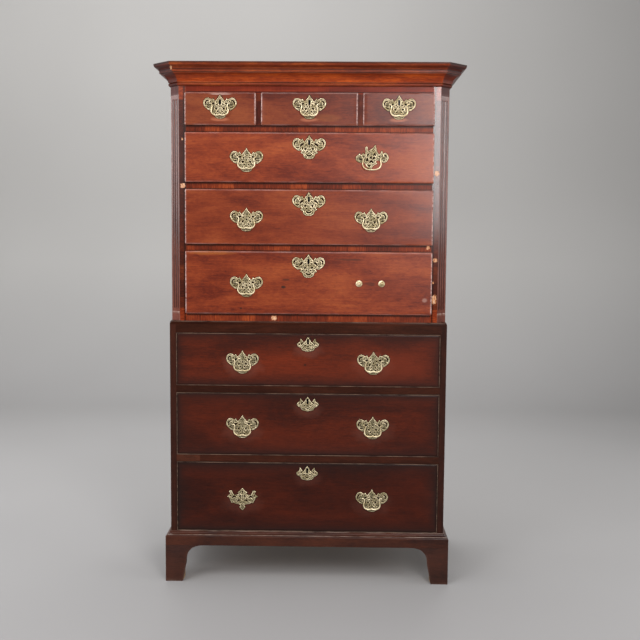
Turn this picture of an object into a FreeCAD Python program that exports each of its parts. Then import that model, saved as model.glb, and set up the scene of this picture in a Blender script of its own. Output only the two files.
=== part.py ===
import FreeCAD, Part
import math
import os
from collections import namedtuple

from FreeCAD import Vector

# Chest on chest in mahogany: a lower chest of three long drawers on bracket feet, and an upper
# chest of three short and three long drawers between canted corners, under a cornice.
# Millimetres. X runs to the right of someone who faces the chest, the front looks along -Y and
# Z is up. The origin is on the floor, in the middle of the overall width and depth.

# ---- Cases
LOWER_WIDTH = 1004.0
LOWER_DEPTH = 526.0
WAIST_LEDGE = 3.0            # the upper case stands in by this much at the front and the sides
SIDE_BOARD = 22.0            # lower side, whose front edge is the stile
UPPER_SIDE_BOARD = 20.0
CARCASE_BOARD = 18.0         # top and bottom boards
BACK_BOARD = 12.0
BACK_BOARD_COUNT = 5
BACK_REBATE = 10.0           # width of the rebate in the side that takes the back boards
DUSTBOARD = 12.0
RAIL_DEPTH = 50.0

# ---- Heights of the lower chest, from the floor
FOOT_HEIGHT = 136.0
BASE_HEIGHT = 51.0
BASE_OVER_BOTTOM = 14.0      # how far the base moulding hangs below the bottom board
LOWER_OPENINGS = (260.0, 232.0, 194.0)
LOWER_RAIL = 25.0
LOWER_TOP_RAIL = 30.0
WAIST_HEIGHT = 13.0

# ---- Heights of the upper chest, from the waist
UPPER_BOTTOM_RAIL = 31.0
UPPER_OPENINGS = (217.0, 187.0, 167.0)
UPPER_RAIL = 34.0
SHORT_OPENING = 106.0
FRIEZE_SHOWING = 27.0
CORNICE_HEIGHT = 77.0
CASE_BELOW_CORNICE = 10.0    # the case stops this far below the top of the cornice

# ---- Canted corners and the openings between them
CANT = 33.0                  # both legs of the 45 degree cant
STILE = 26.5                 # from the cant to the drawer opening
POST_DEPTH = 45.0
CANT_BLOCK_PROUD = 1.5       # plain blocks above and below the flutes
CANT_CAPITAL = 32.0          # height of the upper block below the cornice
CANT_PLINTH = 30.0
FLUTE_COUNT = 3
FLUTE_RADIUS = 4.5
FLUTE_PITCH = 12.0
FLUTE_DEPTH = 3.0
FLUTE_TAPER = 9.0            # length of the pointed end of a flute
FLUTE_MARGIN = 12.0          # plain stretch between a block and the end of a flute
SHORT_MIDDLE = 334.0         # width of the middle short opening
DIVIDER = 28.0

# ---- Mouldings
ARC_CHORD = 24.0             # degrees that one facet of a curved outline turns
CORNICE_PROJECTION = 57.0
CORNICE_FILLET = 5.0         # flat top edge
CYMA = 19.0                  # both the height and the depth of the curve below it
FASCIA = 9.0
COVE_STEP = 5.0              # the cove starts this far behind the fascia
COVE_FILLET = 3.0
COVE_DEPTH = 25.0
CORNICE_BEAD = 6.0           # radius of the bead at the bottom
BEAD_QUIRK = 1.0
BASE_PROJECTION = 18.0
BASE_MOULDED = 19.0          # height of the moulded top edge of the base

# ---- Bracket feet
FOOT_WIDTH = 62.0            # at the floor
FOOT_SPLAY = 14.0            # the inner edge leans out by this much up to the curve
FOOT_STRAIGHT = 72.0         # height of the straight inner edge
BRACKET_REACH = 138.0        # from the outer corner to the end of the curve
SIDE_BRACKET_REACH = 128.0
BRACKET_CURVE = (0.22, 0.64) # point of the curve, as shares of its width and height
REAR_FOOT_BOARD = 20.0
FOOT_BLOCK = 45.0

# ---- Drawers
LIP_OVERLAP = 5.0
LIP_THICKNESS = 8.0
LIP_ROUND = 5.5
LIP_FACETS = 3
LIP_GAP = 0.3                # between the lip and the face of the case
LIPPED_BODY = 14.0           # thickness of the front behind the face of the case
FLUSH_FRONT = 20.0
COCK_BEAD = 3.0              # thickness of the bead round a lower drawer front
COCK_BEAD_PROUD = 2.5
COCK_BEAD_DEPTH = 8.0        # depth of the rebate that the bead sits in
COCK_BEAD_ROUND = 1.2
FRONT_GAP = 1.0
RUN_GAP = 0.4                # under the drawer sides
LINING = 10.0                # thickness of the drawer sides and back
TAIL_LENGTH = 10.0
TAIL_ROOT = 0.26             # half height of a dovetail at its root, as a share of the pitch
TAIL_TIP = 0.36              # and at its tip
TALL_DRAWER = 150.0          # from this height on a side has one dovetail more
DRAWER_BOTTOM = 8.0
BOTTOM_RISE = 5.0            # the bottom board lies this far above the lower edge of the sides
RUNNER_STRIP = 14.0
SIDE_BELOW_OPENING = 4.0     # the drawer sides stop this far below the top of the opening
BACK_DROP = 12.0             # the drawer back is this much lower than the sides
DRAWER_BACK_GAP = 12.0       # behind a closed drawer
STOP_HEIGHT = 4.0
STOP_WIDTH = 40.0
STOP_DEPTH = 18.0
STOP_INSET = 90.0            # from the side of the opening to the middle of a stop

# ---- Brass
PLATE_WIDTH = 118.0
PLATE_HEIGHT = 84.0
PLATE_THICKNESS = 2.0
SPIKED_WIDTH = 112.0
SMALL_WIDTH = 78.0
SMALL_HEIGHT = 53.0
POST_SPACING = 81.0
POST_HEAD_LENGTH = 9.0
POST_HEAD_RADIUS = 5.2
POST_SHANK = 5.0
PIVOT_OUT = 8.0              # from the plate to the axis of the bail
PIVOT_RISE = 9.0             # the axis above the middle of the plate
NUT = 12.0
NUT_THICKNESS = 4.0
PIN_RADIUS = 1.9
PIN_CLEARANCE = 0.08
PIN_SHORT = 1.0              # the pin ends this far inside the outer face of the post head
BAIL_DROP = 41.5             # from the axis to the bottom bar
BAIL_RADIUS = 2.2
BAIL_MIDDLE_RADIUS = 3.0
KNOB_RADIUS = 12.0
KNOB_OUT = 11.0
KNOB_SIDES = 8
UPPER_HANDLE_X = 223.0
LOWER_HANDLE_X = 238.0
KEYHOLE_DROP = 27.0          # keyhole below the top of the opening
KEYHOLE_IN_PLATE = 19.0      # keyhole above the middle of a large plate
KEYHOLE_IN_SMALL = 12.5
KEYHOLE_RADIUS = 2.8
KEYHOLE_SLOT = 3.2
KEYHOLE_LENGTH = 12.0
LOCK_WIDTH = 56.0
LOCK_HEIGHT = 44.0
LOCK_THICKNESS = 10.0

# ---- Worked out from the sizes above
UPPER_WIDTH = LOWER_WIDTH - 2 * WAIST_LEDGE
OVERALL_DEPTH = LOWER_DEPTH - WAIST_LEDGE + CORNICE_PROJECTION
BACK = OVERALL_DEPTH / 2
LOWER_FRONT = BACK - LOWER_DEPTH
UPPER_FRONT = LOWER_FRONT + WAIST_LEDGE
LOWER_HALF = LOWER_WIDTH / 2
UPPER_HALF = UPPER_WIDTH / 2
LOWER_OPEN_HALF = LOWER_HALF - SIDE_BOARD
UPPER_OPEN_HALF = UPPER_HALF - CANT - STILE
UPPER_INNER_HALF = UPPER_HALF - UPPER_SIDE_BOARD
BOTTOM_UNDERSIDE = FOOT_HEIGHT + BASE_OVER_BOTTOM
BASE_TOP = FOOT_HEIGHT + BASE_HEIGHT
LOWER_CASE_TOP = BASE_TOP + sum(LOWER_OPENINGS) + 2 * LOWER_RAIL + LOWER_TOP_RAIL
WAIST_TOP = LOWER_CASE_TOP + WAIST_HEIGHT
SHORT_FLOOR = WAIST_TOP + UPPER_BOTTOM_RAIL + sum(UPPER_OPENINGS) + 3 * UPPER_RAIL
FRIEZE_BOTTOM = SHORT_FLOOR + SHORT_OPENING
CORNICE_BOTTOM = FRIEZE_BOTTOM + FRIEZE_SHOWING
CORNICE_TOP = CORNICE_BOTTOM + CORNICE_HEIGHT
UPPER_CASE_TOP = CORNICE_TOP - CASE_BELOW_CORNICE
INNER_BACK = BACK - BACK_BOARD

Opening = namedtuple("Opening", "name x0 x1 z0 z1 lipped")


# ---------------------------------------------------------------- forms
def box(x0, x1, y0, y1, z0, z1):
    return Part.makeBox(x1 - x0, y1 - y0, z1 - z0, Vector(x0, y0, z0))


def closed(ring):
    return Part.makePolygon(ring + ring[:1])


def outline(points, place):
    """Closed wire through 2-D points; a point marked "mid" lies on an arc between its neighbours.

    An arc becomes chords that each turn by ARC_CHORD at most.
    """
    spots = []
    for i, point in enumerate(points):
        if len(point) == 2:
            spots.append(place(*point))
            continue
        ends = [Vector(*points[(i + k) % len(points)][:2], 0) for k in (-1, 1)]
        arc = Part.Arc(ends[0], Vector(point[0], point[1], 0), ends[1]).toShape()
        chords = math.ceil(arc.Length / arc.Curve.Radius / math.radians(ARC_CHORD))
        inner = arc.discretize(chords + 1)[1:-1]
        if (inner[0] - ends[0]).Length > (inner[0] - ends[1]).Length:
            inner.reverse()
        spots += [place(v.x, v.y) for v in inner]
    return closed(spots)


def skinned(rings):
    """Solid over rings of as many points each, flat facets between them and flat ends."""
    count = len(rings[0])
    faces = [Part.Face(closed(rings[0])), Part.Face(closed(rings[-1]))]
    for lower, upper in zip(rings, rings[1:]):
        for k in range(count):
            a, b, c, d = lower[k], lower[(k + 1) % count], upper[(k + 1) % count], upper[k]
            faces += [Part.Face(closed([a, b, c])), Part.Face(closed([a, c, d]))]
    shell = Part.makeShell(faces)
    shell.sewShape()
    solid = Part.makeSolid(shell)
    if solid.Volume < 0:
        solid.reverse()
    return solid.removeSplitter()


def plan_prism(points, z0, z1):
    face = Part.Face(outline(points, lambda x, y: Vector(x, y, z0)))
    return face.extrude(Vector(0, 0, z1 - z0))


def front_prism(points, y0, y1):
    face = Part.Face(outline(points, lambda x, z: Vector(x, y0, z)))
    return face.extrude(Vector(0, y1 - y0, 0))


def side_prism(points, x0, x1):
    face = Part.Face(outline(points, lambda y, z: Vector(x0, y, z)))
    return face.extrude(Vector(x1 - x0, 0, 0))


def mirrored(shape):
    return shape.mirror(Vector(0, 0, 0), Vector(1, 0, 0))


def both_sides(shape):
    return [shape, mirrored(shape)]


def moved(shape, x, y, z):
    copy = shape.copy()
    copy.translate(Vector(x, y, z))
    return copy


def mitred_runs(path, profile, reach, depth):
    """A moulding along plan points, one solid per run, mitred where two runs meet.

    profile holds (projection, height) points; reach and depth bound it in front and behind.
    """
    corners = [Vector(x, y, 0) for x, y in path]
    along = [(b - a).normalize() for a, b in zip(corners, corners[1:])]
    out = [Vector(d.y, -d.x, 0) for d in along]
    mitre = [out[0]]
    mitre += [(a + b) * (1 / (1 + a.dot(b))) for a, b in zip(out, out[1:])]
    mitre.append(out[-1])
    low = min(p[1] for p in profile) - 1
    high = max(p[1] for p in profile) + 1
    runs = []
    for k, (start, end) in enumerate(zip(corners, corners[1:])):
        spare = reach + depth
        begin = start - along[k] * spare
        face = Part.Face(outline(profile, lambda p, z: begin + out[k] * p + Vector(0, 0, z)))
        run = face.extrude(along[k] * ((end - start).Length + 2 * spare))
        wedge = [start + mitre[k] * reach, end + mitre[k + 1] * reach,
                 end - mitre[k + 1] * depth, start - mitre[k] * depth]
        runs.append(run.common(plan_prism([(v.x, v.y) for v in wedge], low, high)))
    return runs


def save(node, solids):
    Part.makeCompound([s for shape in solids for s in shape.Solids]).exportStep(f"parts/{node}.step")


# ---------------------------------------------------------------- openings for the drawers
def lower_openings():
    found = []
    z = BASE_TOP
    for name, height in zip(("bottom", "middle", "top"), LOWER_OPENINGS):
        found.append(Opening(f"lower_{name}", -LOWER_OPEN_HALF, LOWER_OPEN_HALF, z, z + height, False))
        z += height + LOWER_RAIL
    return found


def upper_openings():
    found = []
    z = WAIST_TOP + UPPER_BOTTOM_RAIL
    for name, height in zip(("bottom", "middle", "top"), UPPER_OPENINGS):
        found.append(Opening(f"upper_{name}", -UPPER_OPEN_HALF, UPPER_OPEN_HALF, z, z + height, True))
        z += height + UPPER_RAIL
    middle = SHORT_MIDDLE / 2
    for name, x0, x1 in (("left", -UPPER_OPEN_HALF, -middle - DIVIDER),
                         ("centre", -middle, middle),
                         ("right", middle + DIVIDER, UPPER_OPEN_HALF)):
        found.append(Opening(f"short_{name}", x0, x1, SHORT_FLOOR, FRIEZE_BOTTOM, True))
    return found


# ---------------------------------------------------------------- cases
def side_board(half, thickness, y0, z0, z1):
    """Right-hand side board, rebated at the back for the back boards."""
    inner = half - thickness
    rebate = inner + BACK_REBATE
    return plan_prism([(half, y0), (half, BACK), (rebate, BACK), (rebate, INNER_BACK),
                       (inner, INNER_BACK), (inner, y0)], z0, z1)


def back_boards(half, z0, z1):
    width = 2 * half / BACK_BOARD_COUNT
    return [box(-half + k * width, -half + (k + 1) * width, INNER_BACK, BACK, z0, z1)
            for k in range(BACK_BOARD_COUNT)]


def drawer_stops(opening, front_face):
    """Two small blocks on the rail, behind the closed drawer front."""
    back_of_front = front_face + (LIPPED_BODY if opening.lipped else FLUSH_FRONT)
    return [box(x - STOP_WIDTH / 2, x + STOP_WIDTH / 2, back_of_front,
                back_of_front + STOP_DEPTH, opening.z0, opening.z0 + STOP_HEIGHT)
            for x in (opening.x0 + STOP_INSET, opening.x1 - STOP_INSET)]


def lower_case():
    openings = lower_openings()
    rail_back = LOWER_FRONT + RAIL_DEPTH
    side = side_board(LOWER_HALF, SIDE_BOARD, LOWER_FRONT, BOTTOM_UNDERSIDE, LOWER_CASE_TOP)
    save("lower_sides", both_sides(side))
    half = LOWER_OPEN_HALF
    save("lower_top_board", [box(-half, half, rail_back, INNER_BACK,
                                 LOWER_CASE_TOP - CARCASE_BOARD, LOWER_CASE_TOP)])
    bottom_top = BOTTOM_UNDERSIDE + CARCASE_BOARD
    save("lower_bottom_board", [box(-half, half, LOWER_FRONT, INNER_BACK,
                                    BOTTOM_UNDERSIDE, bottom_top)])
    save("lower_back_boards", back_boards(half + BACK_REBATE, BOTTOM_UNDERSIDE, LOWER_CASE_TOP))
    rails = [box(-half, half, LOWER_FRONT, rail_back, bottom_top, BASE_TOP),
             box(-half, half, LOWER_FRONT, rail_back, openings[2].z1, LOWER_CASE_TOP)]
    rails += [box(-half, half, LOWER_FRONT, rail_back, below.z1, above.z0)
              for below, above in zip(openings, openings[1:])]
    save("lower_rails", rails)
    boards = [box(-half, half, rail_back, INNER_BACK, o.z0 - DUSTBOARD, o.z0) for o in openings[1:]]
    boards += both_sides(box(half - FOOT_BLOCK, half, rail_back, INNER_BACK, bottom_top, BASE_TOP))
    for opening in openings:
        boards += drawer_stops(opening, LOWER_FRONT)
    save("lower_dustboards", boards)


def canted_post():
    """Right-hand corner post: a plain block, three stopped flutes and a plain block again."""
    outer = UPPER_HALF
    inner = UPPER_OPEN_HALF
    front = UPPER_FRONT
    back = front + POST_DEPTH
    z_plinth = WAIST_TOP + CANT_PLINTH
    z_capital = CORNICE_BOTTOM - CANT_CAPITAL
    sink = CANT_BLOCK_PROUD * math.sqrt(2)

    def plan(step):
        return [(outer, front + CANT + step), (outer - CANT - step, front), (inner, front),
                (inner, back), (outer, back)]

    post = plan_prism(plan(0), WAIST_TOP, z_plinth)
    post = post.fuse([plan_prism(plan(sink), z_plinth, z_capital),
                      plan_prism(plan(0), z_capital, UPPER_CASE_TOP)]).removeSplitter()
    middle = Vector(outer - (CANT + sink) / 2, front + (CANT + sink) / 2, 0)
    across = Vector(1, 1, 0).normalize()
    outward = Vector(1, -1, 0).normalize()
    low = z_plinth + FLUTE_MARGIN
    high = z_capital - FLUTE_MARGIN

    def ring(centre, radius, z):
        spokes = [(math.cos(k * math.pi / 4 + math.pi / 8), math.sin(k * math.pi / 4 + math.pi / 8))
                  for k in range(8)]
        return [centre + (across * c + outward * s) * radius + Vector(0, 0, z) for c, s in spokes]

    for k in range(FLUTE_COUNT):
        centre = middle + outward * (FLUTE_RADIUS - FLUTE_DEPTH)
        centre += across * ((k - (FLUTE_COUNT - 1) / 2) * FLUTE_PITCH)
        tip = FLUTE_RADIUS - FLUTE_DEPTH
        post = post.cut(skinned([ring(centre, tip, low), ring(centre, FLUTE_RADIUS, low + FLUTE_TAPER),
                                 ring(centre, FLUTE_RADIUS, high - FLUTE_TAPER),
                                 ring(centre, tip, high)]))
    return post


def upper_case():
    openings = upper_openings()
    long_openings = openings[:3]
    rail_back = UPPER_FRONT + RAIL_DEPTH
    post_back = UPPER_FRONT + POST_DEPTH
    inner = UPPER_INNER_HALF
    half = UPPER_OPEN_HALF
    side = side_board(UPPER_HALF, UPPER_SIDE_BOARD, post_back, WAIST_TOP, UPPER_CASE_TOP)
    save("upper_sides", both_sides(side))
    save("upper_canted_posts", both_sides(canted_post()))
    save("upper_top_board", [box(-inner, inner, rail_back, INNER_BACK,
                                 UPPER_CASE_TOP - CARCASE_BOARD, UPPER_CASE_TOP)])
    bottom_top = WAIST_TOP + CARCASE_BOARD
    save("upper_bottom_board", [box(-inner, inner, rail_back, INNER_BACK, WAIST_TOP, bottom_top)])
    save("upper_back_boards", back_boards(inner + BACK_REBATE, WAIST_TOP, UPPER_CASE_TOP))
    rails = [box(-half, half, UPPER_FRONT, rail_back, WAIST_TOP, long_openings[0].z0),
             box(-half, half, UPPER_FRONT, rail_back, FRIEZE_BOTTOM, UPPER_CASE_TOP)]
    rails += [box(-half, half, UPPER_FRONT, rail_back, o.z1, o.z1 + UPPER_RAIL) for o in long_openings]
    rails += both_sides(box(SHORT_MIDDLE / 2, SHORT_MIDDLE / 2 + DIVIDER, UPPER_FRONT, rail_back,
                            SHORT_FLOOR, FRIEZE_BOTTOM))
    save("upper_rails", rails)
    floors = [o.z1 + UPPER_RAIL for o in long_openings]
    save("upper_dustboards", [box(-inner, inner, rail_back, INNER_BACK, z - DUSTBOARD, z) for z in floors])
    guides = both_sides(box(half - RUNNER_STRIP, inner, rail_back, INNER_BACK,
                            bottom_top, long_openings[0].z0))
    for z in [long_openings[0].z0] + floors:
        guides += both_sides(box(half, inner, rail_back, INNER_BACK, z, z + CARCASE_BOARD))
    guides += both_sides(box(SHORT_MIDDLE / 2, SHORT_MIDDLE / 2 + DIVIDER, rail_back, INNER_BACK,
                             SHORT_FLOOR, SHORT_FLOOR + CARCASE_BOARD))
    for opening in openings:
        guides += drawer_stops(opening, UPPER_FRONT)
    save("upper_drawer_guides", guides)


# ---------------------------------------------------------------- mouldings and feet
def cornice():
    """Fillet, cyma, fascia, cove and bead, from the top down, round the front and both sides."""
    top, out, bead = CORNICE_TOP, CORNICE_PROJECTION, CORNICE_BEAD
    cyma = top - CORNICE_FILLET
    fascia = out - CYMA
    fascia_bottom = cyma - CYMA - FASCIA
    cove = fascia - COVE_STEP
    cove_top = fascia_bottom - COVE_FILLET
    bead_top = CORNICE_BOTTOM + 2 * bead
    cove_bottom = bead_top + BEAD_QUIRK
    profile = [(0, top), (out, top), (out, cyma),
               (out - 0.137 * CYMA, cyma - 0.326 * CYMA, "mid"), (out - 0.447 * CYMA, cyma - 0.5 * CYMA),
               (out - 0.79 * CYMA, cyma - 0.684 * CYMA, "mid"), (fascia, cyma - CYMA),
               (fascia, fascia_bottom), (cove, fascia_bottom), (cove, cove_top),
               (cove - 0.68 * COVE_DEPTH, cove_top - 0.357 * (cove_top - cove_bottom), "mid"),
               (cove - COVE_DEPTH, cove_bottom), (bead / 3, bead_top),
               (bead + bead / 3, CORNICE_BOTTOM + bead, "mid"), (bead / 3, CORNICE_BOTTOM),
               (0, CORNICE_BOTTOM)]
    path = [(-UPPER_HALF, BACK), (-UPPER_HALF, UPPER_FRONT + CANT), (-UPPER_HALF + CANT, UPPER_FRONT),
            (UPPER_HALF - CANT, UPPER_FRONT), (UPPER_HALF, UPPER_FRONT + CANT), (UPPER_HALF, BACK)]
    save("cornice", mitred_runs(path, profile, out + 1, 1))


def square_path(front):
    return [(-LOWER_HALF, BACK), (-LOWER_HALF, front), (LOWER_HALF, front), (LOWER_HALF, BACK)]


def waist_moulding():
    """Ovolo round the top of the lower case, its corners sloping up to the canted posts."""
    width = SIDE_BOARD
    profile = [(-width, LOWER_CASE_TOP), (0, LOWER_CASE_TOP),
               (-0.25 * WAIST_LEDGE, LOWER_CASE_TOP + 0.51 * WAIST_HEIGHT, "mid"),
               (-WAIST_LEDGE, WAIST_TOP), (-width, WAIST_TOP)]
    runs = mitred_runs(square_path(LOWER_FRONT), profile, 1, width)
    leg = CANT + 2 * WAIST_LEDGE
    corner = Vector(LOWER_HALF, LOWER_FRONT, WAIST_TOP)
    slope = closed([corner - Vector(0, 0, WAIST_HEIGHT), corner - Vector(leg, 0, 0),
                    corner + Vector(0, leg, 0)])
    chip = Part.Face(slope).extrude(Vector(leg, -leg, leg))
    save("waist_moulding", [r.cut([chip, mirrored(chip)]) for r in runs])


def base_moulding():
    """Cavetto and bead at the top of a flat band that the bracket feet carry on."""
    out, high = BASE_PROJECTION, BASE_MOULDED
    profile = [(0, BASE_TOP), (0.17 * out, BASE_TOP), (0.31 * out, BASE_TOP - 0.42 * high, "mid"),
               (0.72 * out, BASE_TOP - 0.63 * high), (0.72 * out, BASE_TOP - 0.74 * high),
               (0.92 * out, BASE_TOP - 0.82 * high, "mid"), (out, BASE_TOP - high),
               (out, FOOT_HEIGHT), (0, FOOT_HEIGHT)]
    save("base_moulding", mitred_runs(square_path(LOWER_FRONT), profile, out + 1, 1))


def bracket(reach):
    """Shape of a bracket in (distance from the outer corner, height)."""
    inner = FOOT_WIDTH + FOOT_SPLAY
    along, up = BRACKET_CURVE
    return [(0, 0), (FOOT_WIDTH, 0), (inner, FOOT_STRAIGHT),
            (inner + along * (reach - inner), FOOT_STRAIGHT + up * (FOOT_HEIGHT - FOOT_STRAIGHT), "mid"),
            (reach, FOOT_HEIGHT), (0, FOOT_HEIGHT)]


def feet():
    """Front feet of two mitred brackets each, rear feet of a side bracket and a plain back board."""
    out = LOWER_HALF + BASE_PROJECTION
    front = LOWER_FRONT - BASE_PROJECTION
    mitre = BASE_PROJECTION
    face = front_prism([(out - p[0],) + p[1:] for p in bracket(BRACKET_REACH)], front, LOWER_FRONT)
    side = side_prism([(front + p[0],) + p[1:] for p in bracket(SIDE_BRACKET_REACH)], LOWER_HALF, out)
    corner = plan_prism([(out, front), (out - mitre, front + mitre), (out, front + mitre)],
                        0, FOOT_HEIGHT)
    face = face.cut(corner)
    side = side.common(corner.fuse(box(LOWER_HALF, out, front + mitre, BACK, 0, FOOT_HEIGHT)))
    save("front_feet", both_sides(face) + both_sides(side))
    rear_side = side_prism([(BACK - p[0],) + p[1:] for p in bracket(SIDE_BRACKET_REACH)],
                           LOWER_HALF, out)
    back_y = BACK - REAR_FOOT_BOARD
    rear_board = front_prism([(LOWER_HALF, 0), (LOWER_HALF, BOTTOM_UNDERSIDE),
                              (LOWER_HALF - SIDE_BRACKET_REACH, BOTTOM_UNDERSIDE),
                              (LOWER_HALF - FOOT_WIDTH, 0)], back_y, BACK)
    save("rear_feet", both_sides(rear_side) + both_sides(rear_board))
    inner = LOWER_HALF - FOOT_BLOCK
    blocks = [box(inner, LOWER_HALF, LOWER_FRONT, LOWER_FRONT + FOOT_BLOCK, 0, BOTTOM_UNDERSIDE),
              box(inner, LOWER_HALF, back_y - FOOT_BLOCK, back_y, 0, BOTTOM_UNDERSIDE)]
    save("foot_blocks", both_sides(blocks[0]) + both_sides(blocks[1]))


# ---------------------------------------------------------------- brass
# Half outlines from the top of a plate down its right side, as shares of its half width and
# half height.
WINGED_PLATE = [(0, 1.0), (0.10, 0.74), (0.25, 0.56), (0.29, 0.40), (0.44, 0.68), (0.56, 0.60),
                (0.82, 0.70), (1.0, 0.27), (0.92, 0.0), (0.66, -0.30), (0.43, -0.34), (0.50, -0.50),
                (0.32, -0.70), (0.20, -1.0)]
SPIKED_PLATE = [(0, 1.0), (0.33, 0.57), (0.25, 0.48), (0.40, 0.36), (0.62, 0.44), (0.80, 0.68),
                (0.82, 0.46), (1.0, 0.18), (0.84, 0.12), (0.72, -0.30), (0.36, -0.42), (0.12, -0.56),
                (0.19, -0.72), (0, -1.0)]
SMALL_PLATE = [(0, 1.0), (0.14, 0.68), (0.32, 0.40), (0.52, 0.52), (0.68, 0.94), (0.76, 0.46),
               (1.0, 0.02), (0.88, -0.32), (0.56, -0.64), (0.26, -0.76), (0, -1.0)]
# The odd plate on the top long drawer, all round from its tip: level wings, and a top that leans
# to the right between two horns.
ODD_PLATE = [(0.20, 1.31), (0.28, 0.86), (0.37, 0.55), (0.47, 0.52), (0.58, 0.80), (0.64, 0.74),
             (0.62, 0.55), (0.78, 0.65), (0.92, 0.52), (1.0, 0.29), (0.92, 0.0), (0.75, -0.17),
             (0.58, -0.10), (0.34, 0.05), (0.24, -0.07), (0.29, -0.28), (0.07, -0.43), (-0.02, -0.69),
             (-0.14, -0.70), (-0.34, -0.45), (-0.46, -0.10), (-0.71, -0.17), (-0.88, -0.05),
             (-0.97, 0.21), (-0.88, 0.43), (-0.74, 0.58), (-0.63, 0.45), (-0.51, 0.62), (-0.42, 0.52),
             (-0.39, 1.05), (-0.32, 1.17), (-0.25, 1.07), (-0.24, 0.79), (-0.07, 0.93)]
ODD_HOLES = [[(0.02, 0.86), (0.08, 0.97), (0.14, 0.86), (0.08, 0.75)],
             [(-0.33, 0.34), (-0.24, 0.54), (-0.15, 0.34)], [(0.07, 0.40), (0.17, 0.60), (0.23, 0.38)],
             [(0.04, 0.08), (0.14, 0.30), (0.22, 0.14)], [(-0.15, -0.16), (-0.02, -0.02), (0.08, -0.24)],
             [(-0.35, -0.06), (-0.26, 0.16), (-0.19, -0.10)]]
# Piercings right of the middle, mirrored to the left, and piercings on the middle line.
WINGED_HOLES = [[(0.50, 0.06), (0.38, 0.32), (0.28, 0.06)], [(0.10, -0.16), (0.34, -0.12), (0.26, -0.48)]]
WINGED_MIDDLE = [[(-0.16, -0.60), (0, -0.76), (0.16, -0.60)]]
SPIKED_HOLES = [[(0.42, 0.04), (0.56, 0.12), (0.50, 0.26), (0.36, 0.20)],
                [(0.10, -0.10), (0.24, 0.04), (0.30, -0.16), (0.16, -0.28)]]
SPIKED_MIDDLE = [[(0, 0.80), (0.10, 0.62), (0, 0.46), (-0.10, 0.62)]]
SMALL_HOLES = [[(0.44, 0.10), (0.60, 0.26), (0.66, 0.02), (0.52, -0.12)]]
SMALL_MIDDLE = [[(-0.22, -0.46), (0, -0.62), (0.22, -0.46), (0, -0.50)]]
# Half bails from the inner end of the pin to the middle of the bottom bar, as shares of half the
# post spacing and of the drop.
SWAN_NECK = [(0.64, 0), (0.62, 0.22), (0.77, 0.53), (0.67, 0.84), (0.32, 1.0), (0, 0.93)]
ROUND_BOW = [(0.79, 0), (0.77, 0.22), (0.82, 0.53), (0.67, 0.84), (0.35, 0.98), (0, 1.0)]
# Turned knob from the face of the drawer outwards, as shares of its radius and its length.
KNOB_PROFILE = [(1.0, 0), (1.0, 0.18), (0.5, 0.41), (0.5, 0.73), (0.25, 1.0)]


def cast_plate(shape, holes, width, height):
    """Pierced plate standing on the plane y = 0; points are shares of half its width and height."""
    def sized(points):
        return [(x * width / 2, z * height / 2) for x, z in points]

    plate = front_prism(sized(shape), -PLATE_THICKNESS, 0)
    return plate.cut([front_prism(sized(hole), -2 * PLATE_THICKNESS, PLATE_THICKNESS) for hole in holes])


def even_plate(half, holes, middle, width, height):
    """Plate that is the same on both sides of its middle."""
    shape = half + [(-x, z) for x, z in reversed(half) if x > 0]
    return cast_plate(shape, holes + [[(-x, z) for x, z in hole] for hole in holes] + middle, width, height)


def keyhole(x, z, y0, y1):
    """Cutter for a keyhole: a six-sided eye over a slot."""
    r, slot = KEYHOLE_RADIUS, KEYHOLE_SLOT / 2
    drop = KEYHOLE_LENGTH - r
    neck = -math.sqrt(r * r - slot * slot)
    shape = [(-slot, -drop), (slot, -drop), (slot, neck), (r, 0), (r / 2, r), (-r / 2, r), (-r, 0),
             (-slot, neck)]
    return front_prism([(x + px, z + pz) for px, pz in shape], y0, y1)


def hexagon(radius, x):
    """Six points round the X axis, the first towards the back."""
    return [Vector(x, radius * math.cos(k * math.pi / 3), radius * math.sin(k * math.pi / 3))
            for k in range(6)]


def post(front_thickness):
    """Handle post with its bail hole along X on the origin, shank, and nut behind the front."""
    half = POST_HEAD_LENGTH / 2
    head, bore = [Part.Face(closed(hexagon(radius, -half))).extrude(Vector(POST_HEAD_LENGTH, 0, 0))
                  for radius in (POST_HEAD_RADIUS, (PIN_RADIUS + PIN_CLEARANCE) / math.cos(math.pi / 6))]
    s = POST_SHANK / 2
    face = PIVOT_OUT + PLATE_THICKNESS
    inside = face + front_thickness
    shank = box(-s, s, (PIN_RADIUS + POST_HEAD_RADIUS) / 2, inside, -s, s)
    n = NUT / 2
    nut = box(-n, n, inside, inside + NUT_THICKNESS, -n, n)
    return head.fuse([shank, nut]).removeSplitter().cut(bore)


def bail(shares, bar_radius):
    """Bail hanging from the X axis: a six-sided bar, thinner in the posts than at the bottom."""
    half = POST_SPACING / 2
    shape = [(x * half, -z * BAIL_DROP, BAIL_RADIUS) for x, z in shares]
    shape[0] = (shares[0][0] * half, 0, PIN_RADIUS)
    shape[-2:] = [(x, z, bar_radius) for x, z, r in shape[-2:]]
    shape.insert(0, (half + POST_HEAD_LENGTH / 2 - PIN_SHORT, 0, PIN_RADIUS))
    path = [(-x, z, r) for x, z, r in shape] + [(x, z, r) for x, z, r in reversed(shape) if x > 0]
    sections = []
    for i, (x, z, r) in enumerate(path):
        before, after = path[max(i - 1, 0)], path[min(i + 1, len(path) - 1)]
        here = Vector(x, 0, z)
        legs = [here - Vector(before[0], 0, before[1]), Vector(after[0], 0, after[1]) - here]
        legs = [leg.normalize() for leg in legs if leg.Length > 0]
        tangent = (legs[0] + legs[-1]).normalize()
        stretch = 1 / max(tangent.dot(legs[0]), 0.5)
        normal = Vector(-tangent.z, 0, tangent.x) * stretch
        turns = [k * math.pi / 3 for k in range(6)]
        ring = [here + normal * (r * math.sin(a)) + Vector(0, r * math.cos(a), 0) for a in turns]
        sections.append(ring)
    return skinned(sections)


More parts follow.
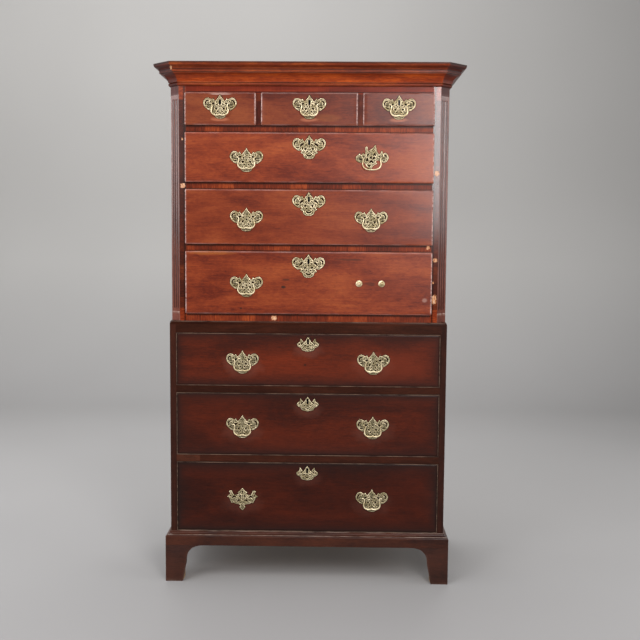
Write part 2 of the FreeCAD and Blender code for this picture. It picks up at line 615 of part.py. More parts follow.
def knob(front_thickness):
    """Turned knob left where a handle has been lost, its face at y = 0."""
    turns = [(k + 0.5) * 2 * math.pi / KNOB_SIDES for k in range(KNOB_SIDES)]
    head = skinned([[Vector(r * KNOB_RADIUS * math.cos(a), -out * KNOB_OUT, r * KNOB_RADIUS * math.sin(a))
                     for a in turns] for r, out in KNOB_PROFILE])
    s, n = POST_SHANK / 2, NUT / 2
    return head.fuse([box(-s, s, 0, front_thickness, -s, s),
                      box(-n, n, front_thickness, front_thickness + NUT_THICKNESS, -n, n)])


def winged_plate():
    return even_plate(WINGED_PLATE, WINGED_HOLES, WINGED_MIDDLE, PLATE_WIDTH, PLATE_HEIGHT)


def spiked_plate():
    return even_plate(SPIKED_PLATE, SPIKED_HOLES, SPIKED_MIDDLE, SPIKED_WIDTH, PLATE_HEIGHT)


def odd_plate():
    return cast_plate(ODD_PLATE, ODD_HOLES, PLATE_WIDTH, PLATE_HEIGHT)


# ---------------------------------------------------------------- drawers
def drawer_side(y_root, y_back, z0, z1):
    """Outline of a drawer side in (y, z), with dovetails that reach into the front."""
    tails = 3 if z1 - z0 >= TALL_DRAWER else 2
    pitch = (z1 - z0) / tails
    points = [(y_back, z0), (y_back, z1), (y_root, z1)]
    for k in reversed(range(tails)):
        middle = z0 + (k + 0.5) * pitch
        root, tip = TAIL_ROOT * pitch, TAIL_TIP * pitch
        points += [(y_root, middle + root), (y_root - TAIL_LENGTH, middle + tip),
                   (y_root - TAIL_LENGTH, middle - tip), (y_root, middle - root)]
    return points + [(y_root, z0)]


def lip_ring(opening, y, inset):
    """Rectangle of the lip of a drawer front at depth y, so far inside its outer edge."""
    lap = LIP_OVERLAP - inset
    x0, x1, z0, z1 = opening.x0 - lap, opening.x1 + lap, opening.z0 - lap, opening.z1 + lap
    return [Vector(x0, y, z0), Vector(x1, y, z0), Vector(x1, y, z1), Vector(x0, y, z1)]


def drawer_front(opening, face):
    """The front board, and for a flush drawer the four cock beads in a rebate round it."""
    x0, x1 = opening.x0 + FRONT_GAP, opening.x1 - FRONT_GAP
    z0, z1 = opening.z0 + RUN_GAP, opening.z1 - FRONT_GAP
    if opening.lipped:
        rings = [lip_ring(opening, face - LIP_GAP, 0)]
        for step in range(LIP_FACETS + 1):
            turn = step * math.pi / 2 / LIP_FACETS
            rings.append(lip_ring(opening, face - LIP_GAP - LIP_THICKNESS + LIP_ROUND * (1 - math.sin(turn)),
                                  LIP_ROUND * (1 - math.cos(turn))))
        return [skinned(rings).fuse(box(x0, x1, face - LIP_GAP, face + LIPPED_BODY, z0, z1))]
    bead, seat = COCK_BEAD, face + COCK_BEAD_DEPTH
    panel = box(x0 + bead, x1 - bead, face, seat, z0 + bead, z1 - bead)
    parts = [panel.fuse(box(x0, x1, seat, face + FLUSH_FRONT, z0, z1))]
    frame = [box(x0, x1, face - COCK_BEAD_PROUD, seat, z1 - bead, z1),
             box(x0, x1, face - COCK_BEAD_PROUD, seat, z0, z0 + bead),
             box(x0, x0 + bead, face - COCK_BEAD_PROUD, seat, z0 + bead, z1 - bead),
             box(x1 - bead, x1, face - COCK_BEAD_PROUD, seat, z0 + bead, z1 - bead)]
    for strip in frame:
        long_axis = max((strip.BoundBox.XLength, "x"), (strip.BoundBox.ZLength, "z"))[1]
        rim = [e for e in strip.Edges if e.BoundBox.YMax < face - COCK_BEAD_PROUD / 2
               and (e.BoundBox.XLength if long_axis == "x" else e.BoundBox.ZLength) > bead * 2]
        parts.append(strip.makeChamfer(COCK_BEAD_ROUND, rim))
    return parts


def drawer_lining(opening, y_root):
    """Sides, back, bottom and runner strips."""
    x0, x1 = opening.x0 + FRONT_GAP, opening.x1 - FRONT_GAP
    z0, z1 = opening.z0 + RUN_GAP, opening.z1 - SIDE_BELOW_OPENING
    y_back = INNER_BACK - DRAWER_BACK_GAP
    shape = drawer_side(y_root, y_back, z0, z1)
    sides = [side_prism(shape, x0, x0 + LINING), side_prism(shape, x1 - LINING, x1)]
    floor = z0 + BOTTOM_RISE
    inside = (x0 + LINING, x1 - LINING)
    rest = [box(*inside, y_back - LINING, y_back, floor + DRAWER_BOTTOM, z1 - BACK_DROP),
            box(*inside, y_root, y_back, floor, floor + DRAWER_BOTTOM),
            box(inside[0], inside[0] + RUNNER_STRIP, y_root + STOP_DEPTH + RUN_GAP, y_back, z0, floor),
            box(inside[1] - RUNNER_STRIP, inside[1], y_root + STOP_DEPTH + RUN_GAP, y_back, z0, floor)]
    return sides, rest


def fit_handle(brass, plate, x, z, face, thickness):
    """Add a plate and its two posts; x and z are the middle of the bail's axis."""
    posts = [moved(post(thickness), x + side * POST_SPACING / 2, face - PLATE_THICKNESS - PIVOT_OUT, z)
             for side in (-1, 1)]
    brass.append(moved(plate, x, face, z - PIVOT_RISE).cut(posts))
    brass.extend(posts)
    return posts


def build_drawer(opening, case_front, handles):
    """handles lists (side name, x, kind) for each place where a handle is or was."""
    thickness = LIPPED_BODY if opening.lipped else FLUSH_FRONT
    y_root = case_front + thickness
    face = case_front - LIP_GAP - LIP_THICKNESS if opening.lipped else case_front
    through = y_root - face
    front = drawer_front(opening, case_front)
    sides, rest = drawer_lining(opening, y_root)
    mid_x = (opening.x0 + opening.x1) / 2
    key_z = opening.z1 - KEYHOLE_DROP
    short = opening.name.startswith("short")
    pivot_z = key_z - KEYHOLE_IN_PLATE + PIVOT_RISE if short else (opening.z0 + opening.z1) / 2
    key = keyhole(mid_x, key_z, face - PLATE_THICKNESS - 1, y_root + LOCK_THICKNESS + 1)
    lock_top = opening.z1 - SIDE_BELOW_OPENING
    lock = box(mid_x - LOCK_WIDTH / 2, mid_x + LOCK_WIDTH / 2, y_root, y_root + LOCK_THICKNESS,
               lock_top - LOCK_HEIGHT, lock_top)
    brass = []
    through_holes = []
    for side, x, kind in handles:
        if kind == "knobs":
            knobs = [moved(knob(through), x + s * POST_SPACING / 2, face, pivot_z) for s in (-1, 1)]
            brass += knobs
            through_holes += knobs
        elif kind == "plate only":
            brass.append(moved(spiked_plate(), x, face, pivot_z - PIVOT_RISE))
        else:
            plate = odd_plate() if kind == "odd" else winged_plate()
            through_holes += fit_handle(brass, plate, x, pivot_z, face, through)
            hanging = bail(ROUND_BOW, BAIL_RADIUS) if kind == "odd" else bail(SWAN_NECK, BAIL_MIDDLE_RADIUS)
            node = f"{opening.name}_bail" if short else f"{opening.name}_bail_{side}"
            save(node, [moved(hanging, x, face - PLATE_THICKNESS - PIVOT_OUT, pivot_z)])
    if opening.name.startswith("upper"):
        brass.append(moved(winged_plate(), mid_x, face, key_z - KEYHOLE_IN_PLATE))
    elif not short:
        small = even_plate(SMALL_PLATE, SMALL_HOLES, SMALL_MIDDLE, SMALL_WIDTH, SMALL_HEIGHT)
        brass.append(moved(small, mid_x, face, key_z - KEYHOLE_IN_SMALL))
    brass = [piece.cut(key) for piece in brass] + [lock.cut(key)]
    front[0] = front[0].cut(through_holes + sides + [key])
    beads = [strip.cut(sides) for strip in front[1:]]
    save(f"{opening.name}_drawer_front", [front[0]] + beads)
    save(f"{opening.name}_drawer_lining", sides + rest)
    save(f"{opening.name}_drawer_brass", brass)


def drawers():
    for opening in lower_openings():
        left = "plate only" if opening.name == "lower_bottom" else "winged"
        build_drawer(opening, LOWER_FRONT, [("left", -LOWER_HANDLE_X, left),
                                            ("right", LOWER_HANDLE_X, "winged")])
    odd = {"upper_top": "odd", "upper_bottom": "knobs"}
    for opening in upper_openings():
        if opening.name.startswith("short"):
            handles = [("middle", (opening.x0 + opening.x1) / 2, "winged")]
        else:
            handles = [("left", -UPPER_HANDLE_X, "winged"),
                       ("right", UPPER_HANDLE_X, odd.get(opening.name, "winged"))]
        build_drawer(opening, UPPER_FRONT, handles)


os.makedirs("parts", exist_ok=True)
lower_case()
upper_case()
cornice()
waist_moulding()
base_moulding()
feet()
drawers()
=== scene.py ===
import math

import bmesh
import bpy
import numpy as np
from mathutils import Matrix, Vector


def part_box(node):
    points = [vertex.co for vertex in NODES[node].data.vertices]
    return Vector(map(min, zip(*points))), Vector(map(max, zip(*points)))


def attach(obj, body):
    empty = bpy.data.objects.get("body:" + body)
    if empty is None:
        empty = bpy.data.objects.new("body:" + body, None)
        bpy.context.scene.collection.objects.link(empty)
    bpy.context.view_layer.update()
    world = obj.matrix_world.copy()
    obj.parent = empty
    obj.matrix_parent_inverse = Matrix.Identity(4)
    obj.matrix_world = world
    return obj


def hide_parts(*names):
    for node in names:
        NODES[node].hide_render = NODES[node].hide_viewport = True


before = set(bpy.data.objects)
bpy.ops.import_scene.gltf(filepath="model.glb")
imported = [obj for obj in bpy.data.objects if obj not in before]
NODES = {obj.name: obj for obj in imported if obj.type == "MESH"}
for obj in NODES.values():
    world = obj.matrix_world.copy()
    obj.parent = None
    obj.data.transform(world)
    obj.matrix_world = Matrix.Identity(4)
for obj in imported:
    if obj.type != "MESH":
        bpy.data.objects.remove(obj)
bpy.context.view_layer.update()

# The finish of a mahogany chest on chest: brass, mouldings, drawer fronts and posts worked finer
# than the carcase, and a finish for every board. Metres; the front looks along -Y, Z is up.
MM = 0.001

UPPER_FACE, LOWER_FACE, BACK = -0.233, -0.236, 0.290     # front planes of the cases, and their back
UPPER_HALF, LOWER_HALF = 0.499, 0.502                    # half widths of the cases
CANT = 0.033
OPEN_HALF = 0.4395                                       # half width of the upper drawer openings
WAIST_LOW, CORNICE_LOW, CORNICE_TOP, BASE_TOP = 0.953, 1.803, 1.880, 0.187
UPPER_PROUD, UPPER_BOARD, LOWER_BOARD = 8 * MM, 14 * MM, 20 * MM   # how far the fronts reach out and in
UPPER_REACH, LOWER_REACH = 223 * MM, 238 * MM            # from the middle to a handle's middle
POST_REACH, PLATE_DROP = 40.5 * MM, 9 * MM               # posts from their plate's middle
KEY_SLOT, KEY_ROUND, KEY_DROP = 1.6 * MM, 2.8 * MM, 9.2 * MM       # half widths and foot of a keyhole
LONG_DRAWERS = ("upper_bottom", "upper_middle", "upper_top")
SHORT_DRAWERS = ("short_left", "short_centre", "short_right")
LOWER_DRAWERS = ("lower_bottom", "lower_middle", "lower_top")


# ---------------------------------------------------------------- surfaces
def weave(rows, columns, wrap=False):
    """Quads between neighbours of a grid of points numbered row by row; wrap closes each row."""
    i, j = np.meshgrid(np.arange(rows - 1), np.arange(columns - (not wrap)), indexing="ij")
    this, following, right = i * columns, (i + 1) * columns, (j + 1) % columns
    return np.stack([this + j, following + j, following + right, this + right], -1).reshape(-1, 4)


def dress(name, shape, finish, body, crease, node=None):
    """A piece at the origin that rides on a body, from (points, list of face arrays, marks).

    Its edges are sharp beyond the crease angle in degrees; node is what it replaces, if anything.
    """
    points, faces, marks = shape
    mesh = bpy.data.meshes.new(name)
    corners = np.concatenate([f.ravel() for f in faces]).astype(np.int32)
    sizes = np.concatenate([np.full(len(f), f.shape[1]) for f in faces])
    mesh.vertices.add(len(points))
    mesh.vertices.foreach_set("co", np.asarray(points, np.float32).ravel())
    mesh.loops.add(len(corners))
    mesh.loops.foreach_set("vertex_index", corners)
    mesh.polygons.add(len(sizes))
    mesh.polygons.foreach_set("loop_start", (np.cumsum(sizes) - sizes).astype(np.int32))
    mesh.update(calc_edges=True)
    mesh.validate()
    for mark, values in marks.items():
        layer = mesh.attributes.new(mark, "FLOAT", "POINT")
        layer.data.foreach_set("value", np.asarray(values, np.float32).ravel())
    bm = bmesh.new()
    bm.from_mesh(mesh)
    bmesh.ops.recalc_face_normals(bm, faces=bm.faces)
    bm.to_mesh(mesh)
    bm.free()
    mesh.polygons.foreach_set("use_smooth", np.ones(len(mesh.polygons), bool))
    mesh.set_sharp_from_angle(angle=math.radians(crease))
    mesh.materials.append(finish)
    piece = bpy.data.objects.new(name, mesh)
    bpy.context.scene.collection.objects.link(piece)
    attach(piece, body)
    if node:
        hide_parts(node)


def join(shapes):
    """Several shapes as one."""
    starts = np.cumsum([0] + [len(points) for points, _, _ in shapes])
    faces = [quads + start for (_, group, _), start in zip(shapes, starts) for quads in group]
    marks = {key: np.concatenate([m[key] for _, _, m in shapes]) for key in ("rim", "worn", "band")}
    return np.concatenate([points for points, _, _ in shapes]), faces, marks


def swept(rings, worn=0.0, band=0.0, rim=0.0):
    """Closed rings of as many points each, one row per station, with a cap on both ends."""
    stations, count = rings.shape[:2]
    first = np.arange(count)[None]
    faces = [weave(stations, count, True), first[:, ::-1], first + (stations - 1) * count]
    marks = {"worn": worn, "band": band, "rim": rim}
    return rings.reshape(-1, 3), faces, {key: np.broadcast_to(mark, (stations, count)).ravel()
                                         for key, mark in marks.items()}


def smooth_line(knots, steps, closed=False):
    """Catmull-Rom curve: between two knots the cubic whose slopes are half the chord of the
    knots on either side."""
    k = np.asarray(knots, float)
    if closed:
        before, after, beyond = np.roll(k, 1, 0), np.roll(k, -1, 0), np.roll(k, -2, 0)
        start = k
    else:
        k = np.vstack([2 * k[0] - k[1], k, 2 * k[-1] - k[-2]])
        before, start, after, beyond = k[:-3], k[1:-2], k[2:-1], k[3:]
    t = (np.arange(steps) / steps)[None, :, None]
    b, s, a, y = (v[:, None] for v in (before, start, after, beyond))
    line = 0.5 * (2 * s + (a - b) * t + (2 * b - 5 * s + 4 * a - y) * t ** 2
                  + (3 * s - b - 3 * a + y) * t ** 3)
    line = line.reshape(-1, k.shape[1])
    return line if closed else np.vstack([line, k[-2]])


def eased(corners, radius, steps=3):
    """Polygon whose corners are eased: each corner becomes the quadratic curve between the two
    points that lie one radius, or 0.45 of a short side, before and after it."""
    c = np.asarray(corners, float)
    back, ahead = np.roll(c, 1, 0) - c, np.roll(c, -1, 0) - c
    lengths = [np.linalg.norm(way, axis=1, keepdims=True) for way in (back, ahead)]
    a, b = (c + way / length * np.minimum(radius, 0.45 * length)
            for way, length in zip((back, ahead), lengths))
    t = np.linspace(0, 1, steps + 1)[None, :, None]
    curve = a[:, None] * (1 - t) ** 2 + 2 * c[:, None] * t * (1 - t) + b[:, None] * t ** 2
    return curve.reshape(-1, c.shape[1])


def guarded(ring, reach):
    """Ring with two more points on each long side, one reach from either end, so that what is
    marked at a corner stays there."""
    side = np.roll(ring, -1, 0) - ring
    length = np.linalg.norm(side, axis=1, keepdims=True)
    step = side / np.maximum(length, 1e-9) * reach
    points = np.stack([ring, ring + step, ring + side - step], 1)
    long = length > 3 * reach
    return points[np.concatenate([np.ones_like(long), long, long], 1)]


def corner_marks(section, ring, reach):
    """How near each ring point is to an outer and to an inner corner of the section: the bell
    curve of its distance over the reach. A corner turns by more than 25 degrees."""
    before, after = section - np.roll(section, 1, 0), np.roll(section, -1, 0) - section
    turn = np.arctan2(np.cross(before, after), (before * after).sum(1))
    clear = (section[:, 0] > MM) & (section[:, 1] > section[:, 1].min() + MM)
    marks = []
    for corners in (section[(turn < -0.44) & clear], section[(turn > 0.44) & clear]):
        away = np.linalg.norm(ring[:, None] - corners[None], axis=2).min(1)
        marks.append(np.exp(-(away / reach) ** 2))
    return marks


def ripple(points, scale, seed=0.0):
    """Smooth unevenness between -1 and 1: the mean of sines along slanting directions."""
    rng = np.random.default_rng(int(seed * 17 + 5))
    total = 0.0
    for octave in (1.0, 1.9, 3.7):
        ways = rng.normal(size=(3, 3))
        phase = rng.uniform(0, 6.28, 3)
        total = total + np.sin(points @ ways.T * scale * octave + phase).mean(-1) / octave
    return total / 1.2


def slab(x, z, front, back, keep, marks):
    """Closed slab over a grid of places: a front skin at its own depths, a back skin at one depth,
    and a wall along each side that a kept cell shares with no other kept cell."""
    rows, columns = x.shape
    cells = weave(rows, columns)[keep.ravel()]
    count = rows * columns
    sides = np.concatenate([cells[:, [k, (k + 1) % 4]] for k in range(4)])
    low, high = sides.min(1), sides.max(1)
    _, first, uses = np.unique(low * count + high, return_index=True, return_counts=True)
    rim = sides[first[uses == 1]]
    walls = np.stack([rim[:, 1], rim[:, 0], rim[:, 0] + count, rim[:, 1] + count], 1)
    points = np.concatenate([np.stack([x, front, z], -1).reshape(-1, 3),
                             np.stack([x, np.broadcast_to(back, x.shape), z], -1).reshape(-1, 3)])
    faces = np.concatenate([cells, cells[:, ::-1] + count, walls])
    used, index = np.unique(faces, return_inverse=True)
    doubled = {k: np.tile(np.ravel(np.broadcast_to(v, x.shape)), 2)[used] for k, v in marks.items()}
    return points[used], [index.reshape(faces.shape)], doubled


# ---------------------------------------------------------------- finishes
class Finish:
    """Short names for the nodes of one material."""

    def __init__(self, name):
        self.material = bpy.data.materials.new(name)
        self.material.use_nodes = True
        self.tree = self.material.node_tree
        self.shader = self.tree.nodes["Principled BSDF"]
        self.place = self.node("TexCoord").outputs["Object"]
        self.x, self.y, self.z = self.node("SeparateXYZ", Vector=self.place).outputs

    def wire(self, value, socket):
        """Link a socket to the other, or set it to a value."""
        if isinstance(value, bpy.types.NodeSocket):
            self.tree.links.new(value, socket)
        else:
            socket.default_value = value

    def node(self, kind, settings=(), **inputs):
        """A new node with (name, value) settings and its inputs wired."""
        node = self.tree.nodes.new("ShaderNode" + kind)
        for name, value in settings:
            setattr(node, name, value)
        for name, value in inputs.items():
            self.wire(value, node.inputs[name])
        return node

    def set(self, **values):
        """Inputs of the shader; their names have an underscore for a space."""
        for name, value in values.items():
            self.wire(value, self.shader.inputs[name.replace("_", " ")])

    def done(self, colour, rough, height=None, depth=0.0006, strength=0.5):
        """The material with its colour, its roughness and a bump whose depth is in metres."""
        self.set(Base_Color=(*colour, 1) if isinstance(colour, tuple) else colour, Roughness=rough)
        if height is not None:
            bump = self.node("Bump", Distance=depth, Strength=strength, Height=height)
            self.set(Normal=bump.outputs["Normal"])
        return self.material

    def stretch(self, scale, shift=(0, 0, 0)):
        """Place on the object, scaled along each axis and shifted."""
        return self.node("Mapping", Vector=self.place, Scale=scale, Location=shift).outputs["Vector"]

    def noise(self, scale, shift=(0, 0, 0), detail=4.0, rough=0.55, twist=0.0):
        """Cloudy noise whose features repeat about scale times in a metre along each axis."""
        return self.node("TexNoise", Vector=self.stretch(scale, shift), Scale=1.0, Detail=detail,
                         Roughness=rough, Distortion=twist).outputs["Fac"]

    def cells(self, scale, feature="DISTANCE_TO_EDGE"):
        """Distance to the edge of uneven cells, or with F1 to their middle."""
        return self.node("TexVoronoi", [("feature", feature)], Vector=self.stretch(scale),
                         Scale=1.0).outputs["Distance"]

    def lengths(self, line):
        """Uneven lengths along a line of numbers: a tint for each, and the distance to its ends."""
        tint, end = (self.node("TexVoronoi", [("voronoi_dimensions", "1D"), ("feature", feature)],
                               Scale=1.0, W=line) for feature in ("F1", "DISTANCE_TO_EDGE"))
        tint = self.node("SeparateColor", Color=tint.outputs["Color"])
        return tint.outputs[0], end.outputs["Distance"]

    def mark(self, name):
        """What a piece's points carry under this name."""
        return self.node("Attribute", [("attribute_name", name)]).outputs["Fac"]

    def ramp(self, value, *stops):
        """Tone or share at each (value, tone or share) stop, and straight lines in between."""
        node = self.node("ValToRGB", Fac=value)
        points = node.color_ramp.elements
        while len(points) < len(stops):
            points.new(0.5)
        for point, (where, tone) in zip(points, stops):
            point.position = where
            point.color = (tone, tone, tone, 1) if np.isscalar(tone) else (*tone, 1)
        return node.outputs["Color"]

    def mix(self, share, first, second, mode="MIX"):
        """First tone, and the second as far as the share goes."""
        node = self.node("Mix", [("data_type", "RGBA"), ("blend_type", mode)])
        for value, place in ((share, 0), (first, 6), (second, 7)):
            self.wire((*value, 1) if isinstance(value, tuple) else value, node.inputs[place])
        return node.outputs[2]

    def math(self, kind, first, second=0.0, third=0.0):
        """One step of arithmetic."""
        node = self.node("Math", [("operation", kind)])
        for value, socket in zip((first, second, third), node.inputs):
            self.wire(value, socket)
        return node.outputs[0]

    def times(self, first, second):
        return self.math("MULTIPLY", first, second)

    def fused(self, first, factor, added):
        """The first times the factor, plus what is added."""
        return self.math("MULTIPLY_ADD", first, factor, added)

    def most(self, first, second):
        return self.math("MAXIMUM", first, second)

    def unsigned(self, value):
        """Value without its sign."""
        return self.math("ABSOLUTE", value)

    def apart(self, value, place):
        """Distance between a value and a place."""
        return self.unsigned(self.math("SUBTRACT", value, place))

    def within(self, value, limit):
        """1 where the value is under the limit, 0 elsewhere."""
        return self.math("LESS_THAN", value, limit)

    def above(self, level):
        """1 above a level, 0 below it."""
        return self.math("GREATER_THAN", self.z, level)

    def shade(self, share, tone, factors):
        """Tone multiplied by a colour, as far as the share goes."""
        return self.mix(share, tone, self.mix(1.0, tone, factors, "MULTIPLY"))

    def patch(self, centre, size, ragged=0.35, fine=60.0, soft=0.14, power=2.0):
        """1 inside an uneven oval round a place in the X-Z plane, 0 outside it. A higher power
        makes the oval squarer."""
        across = self.fused(self.x, 1 / size[0], -centre[0] / size[0])
        upward = self.fused(self.z, 1 / size[1], -centre[1] / size[1])
        away = self.math("ADD", *(self.math("POWER", self.unsigned(v), power) for v in (across, upward)))
        uneven = self.noise((fine, fine, fine), detail=3.0)
        edge = self.fused(uneven, -2 * ragged, 1 + ragged)
        share = self.math("DIVIDE", self.math("POWER", away, 1 / power), edge)
        return self.ramp(share, (1 - soft, 1.0), (1.0, 0.0))

    def broken(self, chips):
        """1 where the veneer has broken away in ragged blocks, each (centre, size), and the tone of
        the bare wood."""
        bare = 0.0
        for centre, size in chips:
            bare = self.most(bare, self.patch(centre, size, 0.75, 210.0, 0.10, 4.0))
        grain = self.noise((420.0, 420.0, 60.0), detail=3.0, rough=0.7)
        return bare, self.ramp(grain, (0.36, BARE[0]), (0.50, BARE[1]), (0.64, BARE[2]))


def drawn_out(axis, fine, coarse):
    """Scales of a noise that is drawn out along the grain."""
    return tuple(coarse if name == axis else fine for name in "xyz")


BARE = ((0.30, 0.085, 0.026), (0.56, 0.25, 0.11), (0.78, 0.56, 0.38))
# Along the banding's edge a painted shadow line runs beside the drawers' lips.
BANDING_EDGE = 0.4462                       # where the banding of a stile begins, from the middle
# Heights of the foot of the capitals, the foot of the frieze and the middle of the dividers, and
# of the rails' upper and lower edges beside the drawers, along which painted shadow lines run.
CAPITAL, FRIEZE, DIVIDER = 1.7715, 1.7765, 1.723
RAIL_TOPS, RAIL_FEET = (0.992, 1.243, 1.464, 1.665), (1.219, 1.440, 1.641, 1.781)


def veneer(f, line, across, dark, middle, light):
    """Short lengths of crossbanding laid side by side: each has its own tone, fine grain across
    the band, and a dark joint."""
    wander = f.noise((60.0, 60.0, 60.0), detail=2.0)
    tint, end = f.lengths(f.fused(wander, 0.08, line))
    grain = f.noise(across, detail=5.0, rough=0.65, twist=0.4)
    cloud = f.noise((16.0, 16.0, 16.0), detail=4.0, rough=0.6)
    value = f.math("ADD", f.fused(grain, 1.0, -0.56), f.fused(tint, 0.30, f.times(cloud, 0.50)))
    tone = f.ramp(value, (0.06, dark), (0.34, middle), (0.70, light))
    return f.mix(f.ramp(end, (0.0, 0.6), (0.02, 0.0)), tone, (0.02, 0.008, 0.005)), grain


def mahogany(name, dark, middle, light, along="x", shift=(0, 0, 0), contrast=1.0, figure=0.3,
             gloss=0.26, coat=0.15, shine=0.35, stain=0.35, bloom=0.2, border=0.0,
             worn=0.4, worn_tone=(0.36, 0.22, 0.17), patches=(), chips=(),
             banded=None, strips=(), pieces=(), ends=None, fade=()):
    """Polished mahogany: slow clouds of colour, streaks and dark pores along the grain, dark
    flecks, a darkened border where the mark "rim" is high, rubbed arrises where "worn" is high,
    and chips down to bare wood.

    patches are (centre, size, amount, tone). strips, bands of painted light and shade between two
    heights, are (lowest, highest, colour factors); pieces, each cut from another board, are
    (centre, size, colour factors). ends are the lean and start of a mitre and the colour factors
    of the painted shade beyond it. fade gives the share of the polish that is left on a post at
    each height; its capital, under the cornice, is dull and darkened by painted shade.
    """
    f = Finish(name)
    long = lambda fine, coarse: drawn_out(along, fine, coarse)
    cloud = f.noise(long(9.0, 2.6), shift, 4.0, 0.55, 0.8)
    streak = f.noise(long(120.0, 8.0), shift, 8.0, 0.68, 0.5)
    thread = f.noise(long(520.0, 22.0), shift, 3.0, 0.6)
    value = f.math("ADD", f.fused(cloud, 0.95, -0.23 - 0.25 * contrast),
                   f.fused(streak, 0.50 * contrast, f.fused(thread, 0.30, -0.15)))
    flame = f.noise((22.0, 22.0, 46.0), shift, 5.0, 0.65, 1.2)
    dash = f.noise(long(290.0, 75.0), shift, 4.0, 0.72)
    value = f.fused(flame, figure, f.math("SUBTRACT", value, 0.5 * figure + 0.17))
    value = f.fused(dash, 0.34, value)
    tone = f.ramp(value, (0.06, dark), (0.26, middle), (0.50, light))
    pores = f.noise(long(900.0, 70.0), shift, 2.0, 0.5)
    tone = f.shade(f.ramp(pores, (0.36, 0.55 * contrast), (0.50, 0.0)), tone, (0.50, 0.42, 0.42))
    fleck = f.noise(long(210.0, 42.0), (3.1, 1.7, 0.4), 3.0, 0.6)
    tone = f.shade(f.times(f.ramp(fleck, (0.64, 0.0), (0.72, 1.0)), stain), tone, (0.36, 0.28, 0.30))
    haze = f.noise((3.0, 3.0, 8.0), (0.7, 0.2, 0.9), 5.0, 0.6)
    tone = f.shade(f.times(f.ramp(haze, (0.50, 0.0), (0.70, 1.0)), bloom), tone, (1.15, 1.7, 2.6))
    # Bands between two heights: on the cornice, painted light on the cove, painted shade on the top fillet
    # and a painted highlight on the bead.
    for low, high, factors in strips:
        strip = f.times(f.above(low), f.within(f.z, high))
        tone = f.shade(strip, tone, factors)
    for centre, size, factors in pieces:
        tone = f.shade(f.patch(centre, size, 0.0, 60.0, 0.02, 14.0), tone, factors)
    # Painted shade past the mitre on the canted corners.
    if ends is not None:
        lean, start, factors = ends
        past = f.fused(f.y, lean, f.unsigned(f.x))
        tone = f.shade(f.ramp(past, (start, 0.0), (start + 0.002, 1.0)), tone, factors)
    if banded is not None:
        cross, _ = veneer(f, f.times(f.z, 17.0), (60.0, 60.0, 240.0), *banded)
        # A painted shadow line beside the lips, at the edge of the stile's banding.
        gap = f.apart(f.unsigned(f.x), BANDING_EDGE)
        cross = f.mix(f.ramp(gap, (0.0022, 0.92), (0.0044, 0.0)), cross, (0.010, 0.005, 0.004))
        tone = f.mix(f.mark("band"), tone, cross)
    for centre, size, amount, colour in patches:
        tone = f.mix(f.times(f.patch(centre, size, 0.45, 30.0, 0.45), amount), tone, colour)
    # Darker near a front's edges, in a section's inner corners and in flute hollows, as far as the mark "rim"
    # goes.
    darkening = f.times(f.mark("rim"), f.fused(cloud, 0.9, 0.5))
    tone = f.mix(f.times(darkening, border), tone, (0.012, 0.008, 0.007))
    scar = f.noise((95.0, 95.0, 95.0), shift, 5.0, 0.75)
    broken = f.noise(long(120.0, 16.0), shift, 5.0, 0.7)
    rubbed = f.times(f.mark("worn"), f.ramp(broken, (0.40, 0.12), (0.60, 1.0)))
    tone = f.mix(f.times(rubbed, worn), tone, worn_tone)
    height = f.math("ADD", f.times(pores, 0.30), f.fused(scar, 0.35, f.times(streak, 0.25)))
    rough = f.fused(cloud, 0.14, gloss)
    nick = f.ramp(scar, (0.765, 0.0), (0.775, 1.0))
    bare = f.times(nick, f.ramp(f.noise((7.0, 7.0, 7.0), detail=2.0), (0.55, 0.0), (0.60, 1.0)))
    torn, pale = f.broken(chips)
    bare = f.most(bare, torn)
    tone = f.mix(bare, tone, pale)
    height = f.fused(bare, -1.5, height)
    if fade:
        left = f.ramp(f.times(f.z, 0.5), *[(level / 2, share) for level, share in fade])
        # The capital, under the cornice, is darkened as painted shade and made dull.
        capital = f.times(f.above(CAPITAL), f.math("SUBTRACT", 1.0, f.mark("band")))
        tone = f.shade(capital, tone, (0.50, 0.42, 0.48))
        left = f.times(left, f.fused(capital, -0.8, 1.0))
        coat, shine = f.times(left, coat), f.times(left, shine)
    f.set(Coat_Weight=coat, Coat_Roughness=0.15, Specular_IOR_Level=shine)
    return f.done(tone, f.most(rough, f.times(bare, 0.7)), height, 0.0004, 0.45)


